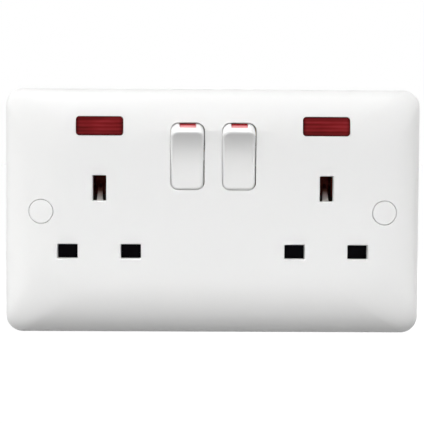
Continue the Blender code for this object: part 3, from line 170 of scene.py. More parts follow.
def makeStage():
    bm = bmesh.new()
    bmesh.ops.create_grid(bm, x_segments=2, y_segments=2, size=studio["floorSize"] / 2)
    floor = meshFrom("studioFloor", bm)
    floor.data.transform(Matrix.Translation((0, 0, plateLow.z - studio["floorDrop"])))
    material = bpy.data.materials.new("paleFloor")
    material.use_nodes = True
    tree = material.node_tree
    tree.nodes.clear()
    matt = newNode(tree, "ShaderNodeBsdfDiffuse", {"Color": (*studio["floorColour"], 1)})
    level = worked(tree, "MULTIPLY", lookedAt(tree), studio["floorGlow"])
    glow = newNode(tree, "ShaderNodeEmission", {"Strength": level})
    both = newNode(tree, "ShaderNodeAddShader", {0: matt.outputs[0], 1: glow.outputs[0]})
    newNode(tree, "ShaderNodeOutputMaterial", {"Surface": both.outputs[0]})
    floor.data.materials.append(material)


def makeWorld():
    world = bpy.data.worlds.new("studio")
    bpy.context.scene.world = world
    world.use_nodes = True
    tree = world.node_tree
    level = newNode(tree, "ShaderNodeMapRange", {
        "Value": lookedAt(tree), "To Min": studio["ambient"], "To Max": 1.0,
    })
    fill(tree, tree.nodes["Background"], {"Color": (1, 1, 1, 1), "Strength": level.outputs["Result"]})


def makeLamp(name, place, aim, size, spread, power):
    data = bpy.data.lights.new(name, "AREA")
    data.shape = "RECTANGLE"
    data.size, data.size_y = size
    data.energy, data.spread = power, radians(spread)
    lamp = placed(name, data)
    lamp.location = place
    lamp.rotation_mode = "QUATERNION"
    lamp.rotation_quaternion = (Vector(aim) - lamp.location).to_track_quat("-Z", "Y")
    lamp.visible_camera = lamp.visible_glossy = False


# Mesh tools


def meshFrom(name, bm, keepNormals=False):
    if not keepNormals:
        bmesh.ops.recalc_face_normals(bm, faces=bm.faces)
    mesh = bpy.data.meshes.new(name)
    bm.to_mesh(mesh)
    bm.free()
    return placed(name, mesh)


# Closed, through rings of equal length. A ring of one point is a pole.
def ringedSolid(name, rings):
    bm = bmesh.new()
    loops = [[bm.verts.new(point) for point in ring] for ring in rings]
    for first, second in zip(loops, loops[1:]):
        count = max(len(first), len(second))
        for i in range(count):
            j = (i + 1) % count
            corners = []
            for loop, k in ((first, i), (first, j), (second, j), (second, i)):
                vert = loop[k % len(loop)]
                if vert not in corners:
                    corners.append(vert)
            bm.faces.new(corners)
    for loop in (loops[0], loops[-1]):
        if len(loop) > 2:
            bm.faces.new(loop)
    return meshFrom(name, bm)


# Rings in the plane of the face. yAt is a depth, or gives the depth at (x, z).
def roundedRing(centreX, centreZ, halfX, halfZ, radius, yAt, steps):
    ring = []
    for corner, (sx, sz) in enumerate(((1, 1), (-1, 1), (-1, -1), (1, -1))):
        for step in range(steps + 1):
            angle = pi / 2 * (corner + step / steps)
            x = centreX + sx * (halfX - radius) + radius * cos(angle)
            z = centreZ + sz * (halfZ - radius) + radius * sin(angle)
            ring.append((x, yAt(x, z) if callable(yAt) else yAt, z))
    return ring


def circleRing(centreX, centreZ, radius, yAt, steps=64):
    ring = []
    for step in range(steps):
        angle = 2 * pi * step / steps
        x, z = centreX + radius * cos(angle), centreZ + radius * sin(angle)
        ring.append((x, yAt(x, z) if callable(yAt) else yAt, z))
    return ring


def block(low, high):
    bm = bmesh.new()
    bmesh.ops.create_cube(bm, size=1.0)
    low, high = Vector(low), Vector(high)
    bmesh.ops.scale(bm, vec=high - low, verts=bm.verts)
    bmesh.ops.translate(bm, vec=(low + high) / 2, verts=bm.verts)
    return meshFrom("block", bm)


def rod(start, end, radius, steps=32):
    start, end = Vector(start), Vector(end)
    bm = bmesh.new()
    bmesh.ops.create_cone(
        bm, cap_ends=True, segments=steps, radius1=radius, radius2=radius, depth=(end - start).length
    )
    turn = (end - start).to_track_quat("Z", "Y").to_matrix().to_4x4()
    bmesh.ops.transform(bm, matrix=Matrix.Translation((start + end) / 2) @ turn, verts=bm.verts)
    return meshFrom("rod", bm)


# Turned about Y from (radius, y) points that run from front to back.
def lathe(name, profile, steps):
    rings = []
    for radius, y in profile:
        if radius < 1e-7:
            rings.append([(0, y, 0)])
        else:
            rings.append(circleRing(0, 0, radius, y, steps))
    return ringedSolid(name, rings)


# The same points with some corners rounded. radii gives each such corner's radius by its index.
def rounded(points, radii, steps=5):
    run = []
    for i, point in enumerate(points):
        if i not in radii:
            run.append(tuple(point))
            continue
        corner = Vector(point)
        before, after = Vector(points[i - 1]) - corner, Vector(points[i + 1]) - corner
        start = corner + before.normalized() * min(radii[i], before.length * bendShare)
        end = corner + after.normalized() * min(radii[i], after.length * bendShare)
        for step in range(steps + 1):
            t = step / steps
            run.append(tuple(start * (1 - t) ** 2 + corner * 2 * t * (1 - t) + end * t**2))
    return run


# A solid of a (y, z) outline, from x = -halfWidth to halfWidth.
def sidePrism(name, outline, halfWidth):
    return ringedSolid(name, [[(x, y, z) for y, z in outline] for x in (-halfWidth, halfWidth)])


# What the object comes to, as a mesh of its own.
def meshOf(obj):
    bpy.context.view_layer.update()
    graph = bpy.context.evaluated_depsgraph_get()
    return bpy.data.meshes.new_from_object(
        obj.evaluated_get(graph), preserve_all_data_layers=True, depsgraph=graph
    )


# Applies the object's modifiers.
def settled(obj):
    mesh = meshOf(obj)
    obj.modifiers.clear()
    obj.data = mesh
    return obj


def combined(target, operation, *tools):
    for tool in tools:
        step = target.modifiers.new(operation, "BOOLEAN")
        step.operation, step.solver, step.object = operation, "EXACT", tool
        settled(target)
        bpy.data.objects.remove(tool)


def moved(obj, matrix):
    obj.data.transform(matrix)
    return obj


# Smooth, with sharp edges past this angle and flat faces that stay flat.
def shaded(obj, angle=32):
    obj.data.shade_smooth()
    obj.data.set_sharp_from_angle(angle=radians(angle))
    step = obj.modifiers.new("normals", "WEIGHTED_NORMAL")
    step.keep_sharp = True
    step.weight = 60
    return settled(obj)


# A copy of a CAD node with its edges eased.
def eased(node, width, angle=40):
    bm = bmesh.new()
    bm.from_mesh(frame["nodes"][node].data)
    bmesh.ops.remove_doubles(bm, verts=bm.verts, dist=2e-6)
    bmesh.ops.dissolve_limit(bm, angle_limit=radians(1.0), verts=bm.verts, edges=bm.edges)
    copy = meshFrom(f"{node}_copy", bm, keepNormals=True)
    bevel = copy.modifiers.new("edges", "BEVEL")
    bevel.limit_method, bevel.angle_limit = "ANGLE", radians(angle)
    bevel.width, bevel.segments, bevel.use_clamp_overlap = width, 2, True
    return shaded(settled(copy))


# Gives each vertex a number that a material reads under this name.
def marked(obj, name, valueAt):
    layer = obj.data.attributes.new(name, "FLOAT", "POINT")
    layer.data.foreach_set("value", [valueAt(vert.co) for vert in obj.data.vertices])


# Names a piece, gives it its finish, sets it riding on its body and puts it in a CAD node's place.
def finished(obj, name, node, slotName, finish, body="socket"):
    obj.name = name
    obj.data.materials.clear()
    obj.data.materials.append(finishes[finish])
    for face in obj.data.polygons:
        face.material_index = 0
    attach(obj, body)
    if node:
        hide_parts(node)


# Geometry Nodes

socketKinds = {float: "Float", int: "Int", tuple: "Vector", type(None): "Material"}


def newTree(name, **inputs):
    tree = bpy.data.node_groups.new(name, "GeometryNodeTree")
    add = tree.interface.new_socket
    add("Geometry", in_out="INPUT", socket_type="NodeSocketGeometry")
    for label, value in inputs.items():
        socket = add(label, in_out="INPUT", socket_type=f"NodeSocket{socketKinds[type(value)]}")
        if value is not None:
            socket.default_value = value
    add("Geometry", in_out="OUTPUT", socket_type="NodeSocketGeometry")
    return tree, tree.nodes.new("NodeGroupInput").outputs


# Joins the tree's own shape to what came in, makes it real and gives it its material.
def treeEnd(tree, given, shape, withInput):
    if withInput:
        join = tree.nodes.new("GeometryNodeJoinGeometry")
        tree.links.new(given["Geometry"], join.inputs[0])
        tree.links.new(shape, join.inputs[0])
        shape = join.outputs[0]
    smooth = newNode(tree, "GeometryNodeSetShadeSmooth", {"Geometry": shape})
    real = newNode(tree, "GeometryNodeRealizeInstances", {0: smooth.outputs[0]})
    finish = newNode(tree, "GeometryNodeSetMaterial", {
        "Geometry": real.outputs[0], "Material": given["Material"],
    })
    newNode(tree, "NodeGroupOutput", {"Geometry": finish.outputs[0]})
    return tree


# Runs a tree on the object and leaves a plain mesh.
def grown(obj, tree, values):
    step = obj.modifiers.new("nodes", "NODES")
    step.node_group = tree
    for item in tree.interface.items_tree:
        if item.in_out == "INPUT" and item.name in values:
            step[item.identifier] = values[item.name]
    return settled(obj)


# A section with this many corners, swept along a curve.
def swept(tree, curve, corners, radius):
    section = newNode(tree, "GeometryNodeCurvePrimitiveCircle", {"Resolution": corners, "Radius": radius})
    sweep = newNode(tree, "GeometryNodeCurveToMesh", {
        "Curve": curve, "Profile Curve": section.outputs[0], "Fill Caps": True,
    })
    return sweep.outputs[0]


# A round wire wound into a helix about Z.
def makeCoilTree():
    tree, given = newTree(
        "coiledWire", Radius=0.001, Wire=0.0002, Turns=5.0, Height=0.003, Material=None
    )
    spiral = newNode(tree, "GeometryNodeCurveSpiral", {
        "Resolution": 28, "Start Radius": given["Radius"], "End Radius": given["Radius"],
        "Rotations": given["Turns"], "Height": given["Height"],
    })
    return treeEnd(tree, given, swept(tree, spiral.outputs[0], 10, given["Wire"]), withInput=False)


# A V-shaped thread about Z, added to the blank that comes in.
def makeThreadTree():
    tree, given = newTree("screwThread", Core=0.0014, Pitch=0.0006, Length=0.01, Material=None)
    spiral = newNode(tree, "GeometryNodeCurveSpiral", {
        "Resolution": 24, "Start Radius": given["Core"], "End Radius": given["Core"],
        "Rotations": worked(tree, "DIVIDE", given["Length"], given["Pitch"]), "Height": given["Length"],
    })
    upright = newNode(tree, "GeometryNodeSetCurveNormal", {"Curve": spiral.outputs[0]}, mode="Z_UP")
    half = worked(tree, "MULTIPLY", given["Pitch"], 0.5)
    return treeEnd(tree, given, swept(tree, upright.outputs[0], 4, half), withInput=True)


# A row of half-round ribs along X, spaced along Z, added to what comes in.
def makeRibTree():
    tree, given = newTree(
        "ribRow", Count=5, Pitch=0.001, Length=0.01, Rib=0.0003, Place=(0, 0, 0), Material=None
    )
    bar = newNode(tree, "GeometryNodeMeshCylinder", {
        "Vertices": 16, "Radius": given["Rib"], "Depth": given["Length"],
    })
    step = newNode(tree, "ShaderNodeCombineXYZ", {"Z": given["Pitch"]})
    row = newNode(tree, "GeometryNodeMeshLine", {
        "Count": given["Count"], "Start Location": given["Place"], "Offset": step.outputs[0],
    })
    ribs = newNode(tree, "GeometryNodeInstanceOnPoints", {
        "Points": row.outputs[0], "Instance": bar.outputs["Mesh"], "Rotation": (0, pi / 2, 0),
    })
    return treeEnd(tree, given, ribs.outputs[0], withInput=True)


# Materials


# A material whose shader takes the inputs that inputsOf gives for its tree.
def painted(name, inputsOf, *values):
    material = bpy.data.materials.new(name)
    material.use_nodes = True
    tree = material.node_tree
    fill(tree, tree.nodes["Principled BSDF"], inputsOf(tree, *values))
    return material


# Noise on Object coordinates, so many features to the metre.
def grain(tree, scale, detail=3.0, roughness=0.55, stretch=None):
    place = tree.nodes.new("ShaderNodeTexCoord").outputs["Object"]
    if stretch:
        place = newNode(tree, "ShaderNodeMapping", {"Vector": place, "Scale": stretch}).outputs[0]
    noise = newNode(tree, "ShaderNodeTexNoise", {
        "Vector": place, "Scale": scale, "Detail": detail, "Roughness": roughness,
    })
    return noise.outputs["Fac"]


def heightAt(tree):
    place = tree.nodes.new("ShaderNodeTexCoord").outputs["Object"]
    return newNode(tree, "ShaderNodeSeparateXYZ", {0: place}).outputs["Z"]


def attribute(tree, name):
    return newNode(tree, "ShaderNodeAttribute", attribute_name=name).outputs["Fac"]


def spread(tree, fac, low, high, start=0.3, end=0.7):
    step = newNode(tree, "ShaderNodeMapRange", {
        "Value": fac, "From Min": start, "From Max": end, "To Min": low, "To Max": high,
    })
    return step.outputs["Result"]


def tinted(tree, fac, colours, stops=(0.35, 0.65), interpolation="LINEAR"):
    ramp = newNode(tree, "ShaderNodeValToRGB", {"Fac": fac})
    ramp.color_ramp.interpolation = interpolation
    while len(ramp.color_ramp.elements) < len(colours):
        ramp.color_ramp.elements.new(1.0)
    for element, stop, colour in zip(ramp.color_ramp.elements, stops, colours):
        element.position, element.color = stop, (*colour, 1)
    return ramp.outputs["Color"]


# One colour multiplied by another, which counts for this share.
def darkened(tree, colour, by, share=1.0):
    mix = newNode(
        tree, "ShaderNodeMix", {0: share, 6: colour, 7: by}, data_type="RGBA", blend_type="MULTIPLY"
    )
    return mix.outputs[2]


def bumps(tree, height, distance, strength):
    bump = newNode(tree, "ShaderNodeBump", {"Height": height, "Distance": distance, "Strength": strength})
    return bump.outputs[0]


# Moulded plastic: a faint cloud in its colour, uneven gloss and a fine skin.
def mouldedPlastic(tree, dark, light, gloss, grainScale, grainDepth, uneven, specular):
    return {
        "Base Color": tinted(tree, grain(tree, 55, 2.0), (dark, light), (0.2, 0.8)),
        "Roughness": spread(tree, grain(tree, 240), gloss * (1 - uneven), gloss * (1 + uneven), 0.2, 0.8),
        "Specular IOR Level": specular,
        "Normal": bumps(tree, grain(tree, grainScale, 2.0), grainDepth, 0.25),
    }


# Strip or bar metal with lines along its rolling direction and a little tarnish.
def rolledMetal(tree, dark, light, gloss, stretch):
    lines = grain(tree, 900, 2.0, 0.6, stretch)
    return {
        "Base Color": tinted(tree, grain(tree, 320, 4.0), (dark, light), (0.3, 0.68)),
        "Roughness": spread(tree, lines, gloss * 0.75, gloss * 1.35),
        "Metallic": 1.0,
        "Normal": bumps(tree, lines, 0.00001, 0.3),
    }


# Clear red plastic over ribs, whose light and shade are painted as bands of darker and lighter red, with
# painted shade darkening its rim.
def redLensPlastic(tree):
    # painted light and shade of the ribs, as bands at their pitch
    wave = worked(tree, "SINE", worked(tree, "MULTIPLY", heightAt(tree), 2 * pi / lens["ribPitch"]))
    cloud = grain(tree, 260, 2.0, 0.5, (0.35, 1.0, 1.6))
    bands = worked(tree, "MULTIPLY_ADD", wave, lens["bandShare"], cloud)
    rim = tinted(tree, attribute(tree, "inside"), lens["rimShades"], (0.0, 0.45, 1.0))
    return {
        "Base Color": darkened(tree, tinted(tree, bands, lens["reds"], (0.22, 0.52, 0.8)), rim),
        "Roughness": spread(tree, grain(tree, 500), 0.12, 0.18),
        "Specular IOR Level": 0.10,
    }


# Red, with a painted highlight that turns it pink towards its lower edge and painted shade that darkens it
# towards its upper edge.
def flagPlastic(tree):
    sheenToShade = worked(tree, "MULTIPLY_ADD", grain(tree, 900), 0.06, attribute(tree, "sheenToShade"))
    return {
        "Base Color": tinted(tree, sheenToShade, flag["colours"], (0.06, 0.34, 0.56, 0.85)),
        "Roughness": spread(tree, grain(tree, 240), 0.20, 0.26),
    }


# Pale plastic at the foot, with painted shade that darkens it to red-brown and near black towards the tip,
# deeper in the slot.
def camPlastic(tree):
    low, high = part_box("shutter_cam_left")
    height = spread(tree, heightAt(tree), 0.0, 1.0, low.z, high.z)
    paintedShadeWithGrain = worked(tree, "MULTIPLY_ADD", grain(tree, 900), 0.12, height)
    # from pale to near black up the cam: painted shade, with a little random grain
    colours = ((0.90, 0.83, 0.79), (0.76, 0.60, 0.56), (0.28, 0.11, 0.08), (0.05, 0.007, 0.006))
    return {
        "Base Color": tinted(tree, paintedShadeWithGrain, colours, (0.25, 0.47, 0.67, 0.86)),
        "Roughness": spread(tree, grain(tree, 240), 0.36, 0.44),
        "Specular IOR Level": 0.15,
    }


# A lacquered body with colour bands along its length, from the mesh's own attribute.
def resistorPaint(tree):
    stops, colours = [0.0], [resistor["bodyColour"]]
    for start, colour in zip(resistor["bandStarts"], resistor["bandColours"]):
        stops += [start, start + resistor["bandWidth"]]
        colours += [colour, resistor["bodyColour"]]
    bands = tinted(tree, attribute(tree, "along"), colours, stops, "CONSTANT")
    dust = tinted(tree, grain(tree, 700), ((0.7, 0.7, 0.7), (1, 1, 1)))
    return {
        "Base Color": darkened(tree, bands, dust, 0.5),
        "Roughness": spread(tree, grain(tree, 900), 0.28, 0.4),
        "Normal": bumps(tree, grain(tree, 1500), 0.00002, 0.3),
    }


def lampGlass(tree):
    return {
        "Base Color": tinted(tree, grain(tree, 300), ((0.93, 0.90, 0.88), (1.0, 0.98, 0.96))),
        "Roughness": spread(tree, grain(tree, 600), 0.01, 0.05),
        "Transmission Weight": 1.0,
        "IOR": 1.47,
    }


# The front plate

plate = {
    "wall": 0.0025, "lip": 0.0025, "rollWidth": 0.019, "rimEdge": 0.0004,
    "cornerRadius": 0.006, "cornerGrowth": 0.5, "rollSteps": 32, "cornerSteps": 16,
    "halfX": plateHigh.x, "halfZ": plateHigh.z,
}
slots = {
    "pinSpacing": 0.0222, "live": (0.00705, 0.00504), "earth": (0.00472, 0.00895), "pinRowZ": -0.01397,
    "edge": 0.00035, "lipDepth": 0.0009, "corner": 0.0003, "guideWall": 0.0013, "guideDepth": 0.0050,
}
aperture = {"width": 0.0120, "corner": 0.0029, "reach": 0.013374, "edge": 0.0002, "past": 0.0018}
recess = {
    "radius": 0.00435, "floor": -0.0026, "edge": 0.0001, "boss": 0.0056, "bossEnd": -0.0002, "shank": 0.00205,
}
cheeks = {"wall": 0.0013, "half": 0.0036, "pin": 0.0018, "step": 0.00003}
screwPosts = {"radius": 0.0029, "pilot": 0.0016, "end": -0.0011}
innerY = frontY + plate["wall"]
guideEnd = frontY + slots["guideDepth"]
skinDeep = 0.000004      # keeps a cutter's edge clear of the face


# Where the plate's outer surface lies at a point of the face.
def faceY(x, z):
    inset = min(plate["halfX"] - abs(x), plate["halfZ"] - abs(z))
    reach = clamped(1 - inset / plate["rollWidth"])
    return frontY + (-frontY - plate["lip"]) * (1 - sqrt(1 - reach**2))


# From the flat of the inside, out to the back rim, and over the soft edge to the flat of the face.
def plateRings():
    depth, roll, wall, edge = -frontY - plate["lip"], plate["rollWidth"], plate["wall"], plate["rimEdge"]
    outer, inner = [], []
    for sine, cosine in quarterTurn(plate["rollSteps"]):
        inset, height = roll * (1 - cosine), plate["lip"] + depth * sine
        radius = plate["cornerRadius"] + plate["cornerGrowth"] * inset
        inward = Vector((depth * cosine, -roll * sine)).normalized() * wall
        outer.append((inset, height, radius))
        inner.append((inset + inward.x, height + inward.y, radius - inward.x))
    rim = [
        (edge * (1 - sine), edge * (1 - cosine), plate["cornerRadius"] - edge * (1 - sine))
        for sine, cosine in quarterTurn(4)
    ]
    back = [(inset, 0.0, plate["cornerRadius"] - inset) for inset in (wall, edge * 2)]
    return [
        roundedRing(
            0, 0, plate["halfX"] - inset, plate["halfZ"] - inset, radius, -height, plate["cornerSteps"]
        )
        for inset, height, radius in inner[::-1] + back + rim + outer
    ]


# A cutter with a rounded lip. ringAt(grow, yAt) gives its outline, and levels its rings past the lip.
def lippedCutter(name, ringAt, edge, levels, lipDepth=None):
    rings = [
        ringAt(edge * 3, frontY - cutPast),
        ringAt(edge * 3, lambda x, z: faceY(x, z) - edge),
        ringAt(edge, lambda x, z: faceY(x, z) - skinDeep),
    ]
    for sine, cosine in quarterTurn(6, 1):
        drop = (lipDepth or edge) * (1 - cosine)
        rings.append(ringAt(edge * (1 - sine), lambda x, z, drop=drop: faceY(x, z) + drop))
    rings += [ringAt(0.0, y) for y in levels]
    return ringedSolid(name, rings)


def slotPlaces():
    for side in sides:
        x = earthPlace[side].x
        for shift in (-1, 1):
            yield x + shift * slots["pinSpacing"] / 2, slots["pinRowZ"], slots["live"]
        yield x, slots["pinRowZ"] + slots["pinSpacing"], slots["earth"]


def slotCutter(x, z, size):
    return lippedCutter(
        "slot",
        lambda grow, yAt: roundedRing(
            x, z, size[0] / 2 + grow, size[1] / 2 + grow, slots["corner"] + grow, yAt, 4
        ),
        slots["edge"], (guideEnd + cutPast,), slots["lipDepth"],
    )


# Its ends widen inwards as the rocker's end faces sweep.
def apertureCutter(pivot):
    def ringAt(grow, yAt):
        y = yAt if not callable(yAt) else frontY
        half = sqrt(aperture["reach"] ** 2 - (y - pivot.y) ** 2) + grow
        return roundedRing(
            pivot.x, pivot.z, aperture["width"] / 2 + grow, half, aperture["corner"] + grow, yAt, 12
        )
    depth = plate["wall"] + aperture["past"]
    levels = [frontY + depth * step / 10 for step in range(3, 11)]
    return lippedCutter("aperture", ringAt, aperture["edge"], levels)


def recessCutter(x):
    cutter = lippedCutter(
        "recess", lambda grow, yAt: circleRing(x, 0, recess["radius"] + grow, yAt), recess["edge"],
        (recess["floor"],),
    )
    shank = rod((x, recess["floor"] - cutPast, 0), (x, recess["bossEnd"] + cutPast, 0), recess["shank"])
    return [cutter, shank]


def makePlate():
    body = ringedSolid("plateShell", plateRings())
    added, cutters = [], []
    for x, z, size in slotPlaces():
        halfX, halfZ = size[0] / 2 + slots["guideWall"], size[1] / 2 + slots["guideWall"]
        added.append(block((x - halfX, innerY - cutPast, z - halfZ), (x + halfX, guideEnd, z + halfZ)))
        cutters.append(slotCutter(x, z, size))
    for side in sides:
        pivot = Vector(joints[f"rocker_turn_{side}"]["pos_m"])
        for hand in (-1, 1):
            near = pivot.x + hand * (aperture["width"] / 2 + cheeks["step"])
            far = near + hand * cheeks["wall"]
            added.append(block(
                (min(near, far), innerY - cutPast, pivot.z - cheeks["half"]),
                (max(near, far), pivot.y + cheeks["pin"] + cheeks["wall"] - fitGap, pivot.z + cheeks["half"]),
            ))
        reach = Vector((aperture["width"] / 2 + cheeks["wall"] + cutPast, 0, 0))
        cutters.append(rod(pivot - reach, pivot + reach, cheeks["pin"]))
        cutters.append(apertureCutter(pivot))
        cutters.append(lensCutter(side))
        fixingX = middle(f"screw_cap_{side}").x
        added.append(rod((fixingX, innerY - cutPast, 0), (fixingX, recess["bossEnd"], 0), recess["boss"], 48))
        cutters += recessCutter(fixingX)
        for level in ("upper", "lower"):
            screw = middle(f"housing_screw_{side}_{level}")
            ends = [(screw.x, y, screw.z) for y in (innerY - cutPast, screwPosts["end"])]
            added.append(rod(*ends, screwPosts["radius"]))
            ends = [(screw.x, y, screw.z) for y in (innerY + cutPast, cutPast)]
            cutters.append(rod(*ends, screwPosts["pilot"], 24))
    combined(body, "UNION", *added)
    combined(body, "DIFFERENCE", *cutters)
    shaded(body, 30)
    finished(body, "frontPlate", "front_plate", "white_moulding", "white")


# A domed tile: a rounded rectangle seen from the front, whose front surface follows a rule


# How far inside a rounded rectangle a point lies.
def edgeDistance(x, z, halfX, halfZ, corner):
    overX, overZ = abs(x) - (halfX - corner), abs(z) - (halfZ - corner)
    if overX > 0 and overZ > 0:
        return corner - hypot(overX, overZ)
    return min(halfX - abs(x), halfZ - abs(z))


# Rows of points over the front, whose y is frontAt(x, z), then the rings that sideRings(outline) gives.
def tile(name, halfX, halfZ, corner, edge, frontAt, sideRings, rows=64, columns=26, cornerRows=9):
    heights = [corner * (1 - cosine) - halfZ for sine, cosine in quarterTurn(cornerRows)][:-1]
    inner = rows - 2 * cornerRows
    heights += [(-halfZ + corner) + 2 * (halfZ - corner) * step / inner for step in range(inner + 1)]
    heights += [-height for height in heights[:cornerRows][::-1]]
    bm = bmesh.new()
    grid = []
    for z in heights:
        over = max(0.0, abs(z) - (halfZ - corner))
        half = halfX - corner + sqrt(max(0.0, corner**2 - over**2))
        row = []
        for step in range(columns + 1):
            x = half * sin(pi / 2 * (2 * step / columns - 1))
            inside = min(edge, max(0.0, edgeDistance(x, z, halfX, halfZ, corner)))
            drop = edge - sqrt(edge**2 - (edge - inside) ** 2)
            row.append(bm.verts.new((x, frontAt(x, z) + drop, z)))
        grid.append(row)
    for lower, upper in zip(grid, grid[1:]):
        for i in range(columns):
            bm.faces.new((lower[i], lower[i + 1], upper[i + 1], upper[i]))
    outline = grid[0] + [row[-1] for row in grid[1:-1]] + grid[-1][::-1] + [row[0] for row in grid[-2:0:-1]]
    last = outline
    for ring in sideRings([tuple(vert.co) for vert in outline]):
        loop = [bm.verts.new(point) for point in ring]
        for i in range(len(loop)):
            j = (i + 1) % len(loop)
            bm.faces.new((last[i], last[j], loop[j], loop[i]))
        last = loop
    bm.faces.new(last)
    return meshFrom(name, bm)


# Rockers

rocker = {
    "width": 0.01168, "shift": -0.00012, "radius": 0.01262, "ridgeAngle": radians(52.1),
    "corner": 0.0027, "edge": 0.0011, "dish": 0.00344, "dishPower": 3.3,
    "skirtY": -0.0022, "earY": 0.0019, "earHalf": 0.0032, "earRoot": 0.0042,
    "skin": 0.0013, "endWall": 0.0006, "pin": 0.0015, "pinLength": 0.0014,
    "stem": 0.0023, "stemReach": 0.0054, "bore": 0.00145, "boreStart": -0.0030,
}
flag = {
    "width": 0.00565, "shift": 0.0002, "depth": 0.0008, "gap": 0.00015, "edge": 0.00018,
    "start": radians(64.1), "end": radians(77.9),
    # the pink is a painted highlight, the darkest reds painted shade under the plate's edge
    "colours": ((0.80, 0.36, 0.37), (0.62, 0.16, 0.18), (0.30, 0.014, 0.018), (0.16, 0.006, 0.008)),
}


# The paddle: level at its ends and dished between them.
def rockerFront(x, z):
    radius, angle = rocker["radius"], rocker["ridgeAngle"]
    half = radius * sin(angle)
    t = clamped((z + half) / (2 * half))
    return -radius * cos(angle) + rocker["dish"] * (t - t ** rocker["dishPower"])


# A curved bar round the pivot at the rocker's upper end, with its outer edges eased.
def flagBand(name, inner, outer, start, end, halfWidth, edge=0.0, steps=12):
    angles = [start + (end - start) * step / steps for step in range(steps + 1)]
    lean = edge / outer
    outline = [(inner, start), (outer - edge, start)]
    outline += [(outer, angle) for angle in [start + lean] + angles[1:-1] + [end - lean]]
    outline += [(outer - edge, end), (inner, end)] + [(inner, angle) for angle in angles[-2:0:-1]]
    points = [(-r * cos(a), r * sin(a)) for r, a in outline]
    return sidePrism(name, points, halfWidth)


# The rocker's place at rest, half its travel from level.
def rockerTilt(side):
    joint = joints[f"rocker_turn_{side}"]
    half = radians(joint["range_deg"][1]) / 2
    return Matrix.Translation(joint["pos_m"]) @ Matrix.Rotation(half, 4, "X")


def makeRocker(side):
    place = rockerTilt(side) @ Matrix.Translation((rocker["shift"], 0, 0))
    halfX, radius, corner, edge = rocker["width"] / 2, rocker["radius"], rocker["corner"], rocker["edge"]
    skirtY, earY, root, half = rocker["skirtY"], rocker["earY"], rocker["earRoot"], rocker["earHalf"]
    skin, stemReach = rocker["skin"], rocker["stemReach"]
    ridgeY = -radius * cos(rocker["ridgeAngle"])
    halfZ = sqrt(radius**2 - (ridgeY + edge) ** 2)
    flat = halfZ - corner

    def sideRings(outline, steps=10):
        for step in range(1, steps + 1):
            ring = []
            for x, y, z in outline:
                y = y + (skirtY - y) * step / steps
                flatHere = sqrt(radius**2 - y**2) - corner
                z = z * flatHere / flat if abs(z) <= flat else copysign(flatHere + abs(z) - flat, z)
                ring.append((x, y, z))
            yield ring

    body = tile("rocker", halfX, halfZ, corner, edge, rockerFront, sideRings)
    combined(body, "UNION", sidePrism("ears", [
        (skirtY - cutPast, -root), (skirtY, -root), (earY, -half), (earY, half), (skirtY, root),
        (skirtY - cutPast, root),
    ], halfX))
    pocketY = max(rockerFront(0, halfZ * (step / 20 - 1)) for step in range(41)) + skin
    pocketEnd = radius * sin(rocker["ridgeAngle"]) - rocker["endWall"]
    combined(body, "DIFFERENCE", block(
        (skin - halfX, pocketY, -pocketEnd), (halfX - skin, earY + cutPast, pocketEnd)
    ))
    combined(body, "UNION", rod((0, pocketY - cutPast, 0), (0, stemReach, 0), rocker["stem"]), *(
        rod((hand * (halfX - cutPast), 0, 0), (hand * (halfX + rocker["pinLength"]), 0, 0), rocker["pin"])
        for hand in (-1, 1)
    ))
    slack = flag["gap"] / radius
    seat = flagBand(
        "seat", radius - flag["depth"] - flag["gap"], radius + cutPast,
        flag["start"] - slack, flag["end"] + slack, flag["width"] / 2 + flag["gap"],
    )
    aside = Matrix.Translation((flag["shift"], 0, 0))
    bore = rod((0, rocker["boreStart"], 0), (0, stemReach + cutPast, 0), rocker["bore"])
    combined(body, "DIFFERENCE", bore, moved(seat, aside))
    shaded(moved(body, place), 30)
    rides = f"rocker_{side}"
    finished(body, f"rockerPaddle_{side}", rides, "white_moulding", "white", rides)
    band = flagBand(
        "flag", radius - flag["depth"], radius, flag["start"], flag["end"], flag["width"] / 2, flag["edge"]
    )
    sweep = flag["end"] - flag["start"]
    # how far up the flag each point lies, for its painted highlight and shade
    marked(band, "sheenToShade", lambda point: (atan2(point.z, -point.y) - flag["start"]) / sweep)
    shaded(moved(band, place @ aside), 50)
    finished(band, f"onFlag_{side}", f"rocker_flag_{side}", "red_plastic", "flag", rides)


# Indicator lenses

lens = {
    "width": 0.01665, "height": 0.0068, "corner": 0.0012, "gap": 0.00008, "edge": 0.00035,
    "windowEdge": 0.0001, "flange": 0.0009, "flangeFront": -0.0055, "flangeThickness": 0.0008,
    "ribPitch": 0.00136, "rib": 0.0004, "bandShare": 0.16,
    "rim": 0.0012,           # how far the painted shade at its rim reaches in
    "reds": ((0.095, 0.002, 0.002), (0.17, 0.006, 0.008), (0.23, 0.014, 0.018)),
    # painted shade, darkest at the rim
    "rimShades": ((0.45, 0.30, 0.30), (0.55, 0.4, 0.4), (1, 1, 1)),
    "shift": {"left": Vector((0, 0, -0.00014)), "right": Vector((-0.0002, 0, 0))},
}


def lensCutter(side):
    place = lensPlace[side] + lens["shift"][side]
    return lippedCutter(
        "window",
        lambda grow, yAt: roundedRing(
            place.x, place.z, lens["width"] / 2 + grow, lens["height"] / 2 + grow,
            lens["corner"] + grow, yAt, 8,
        ),
        lens["windowEdge"], (lens["flangeFront"] + cutPast,),
    )


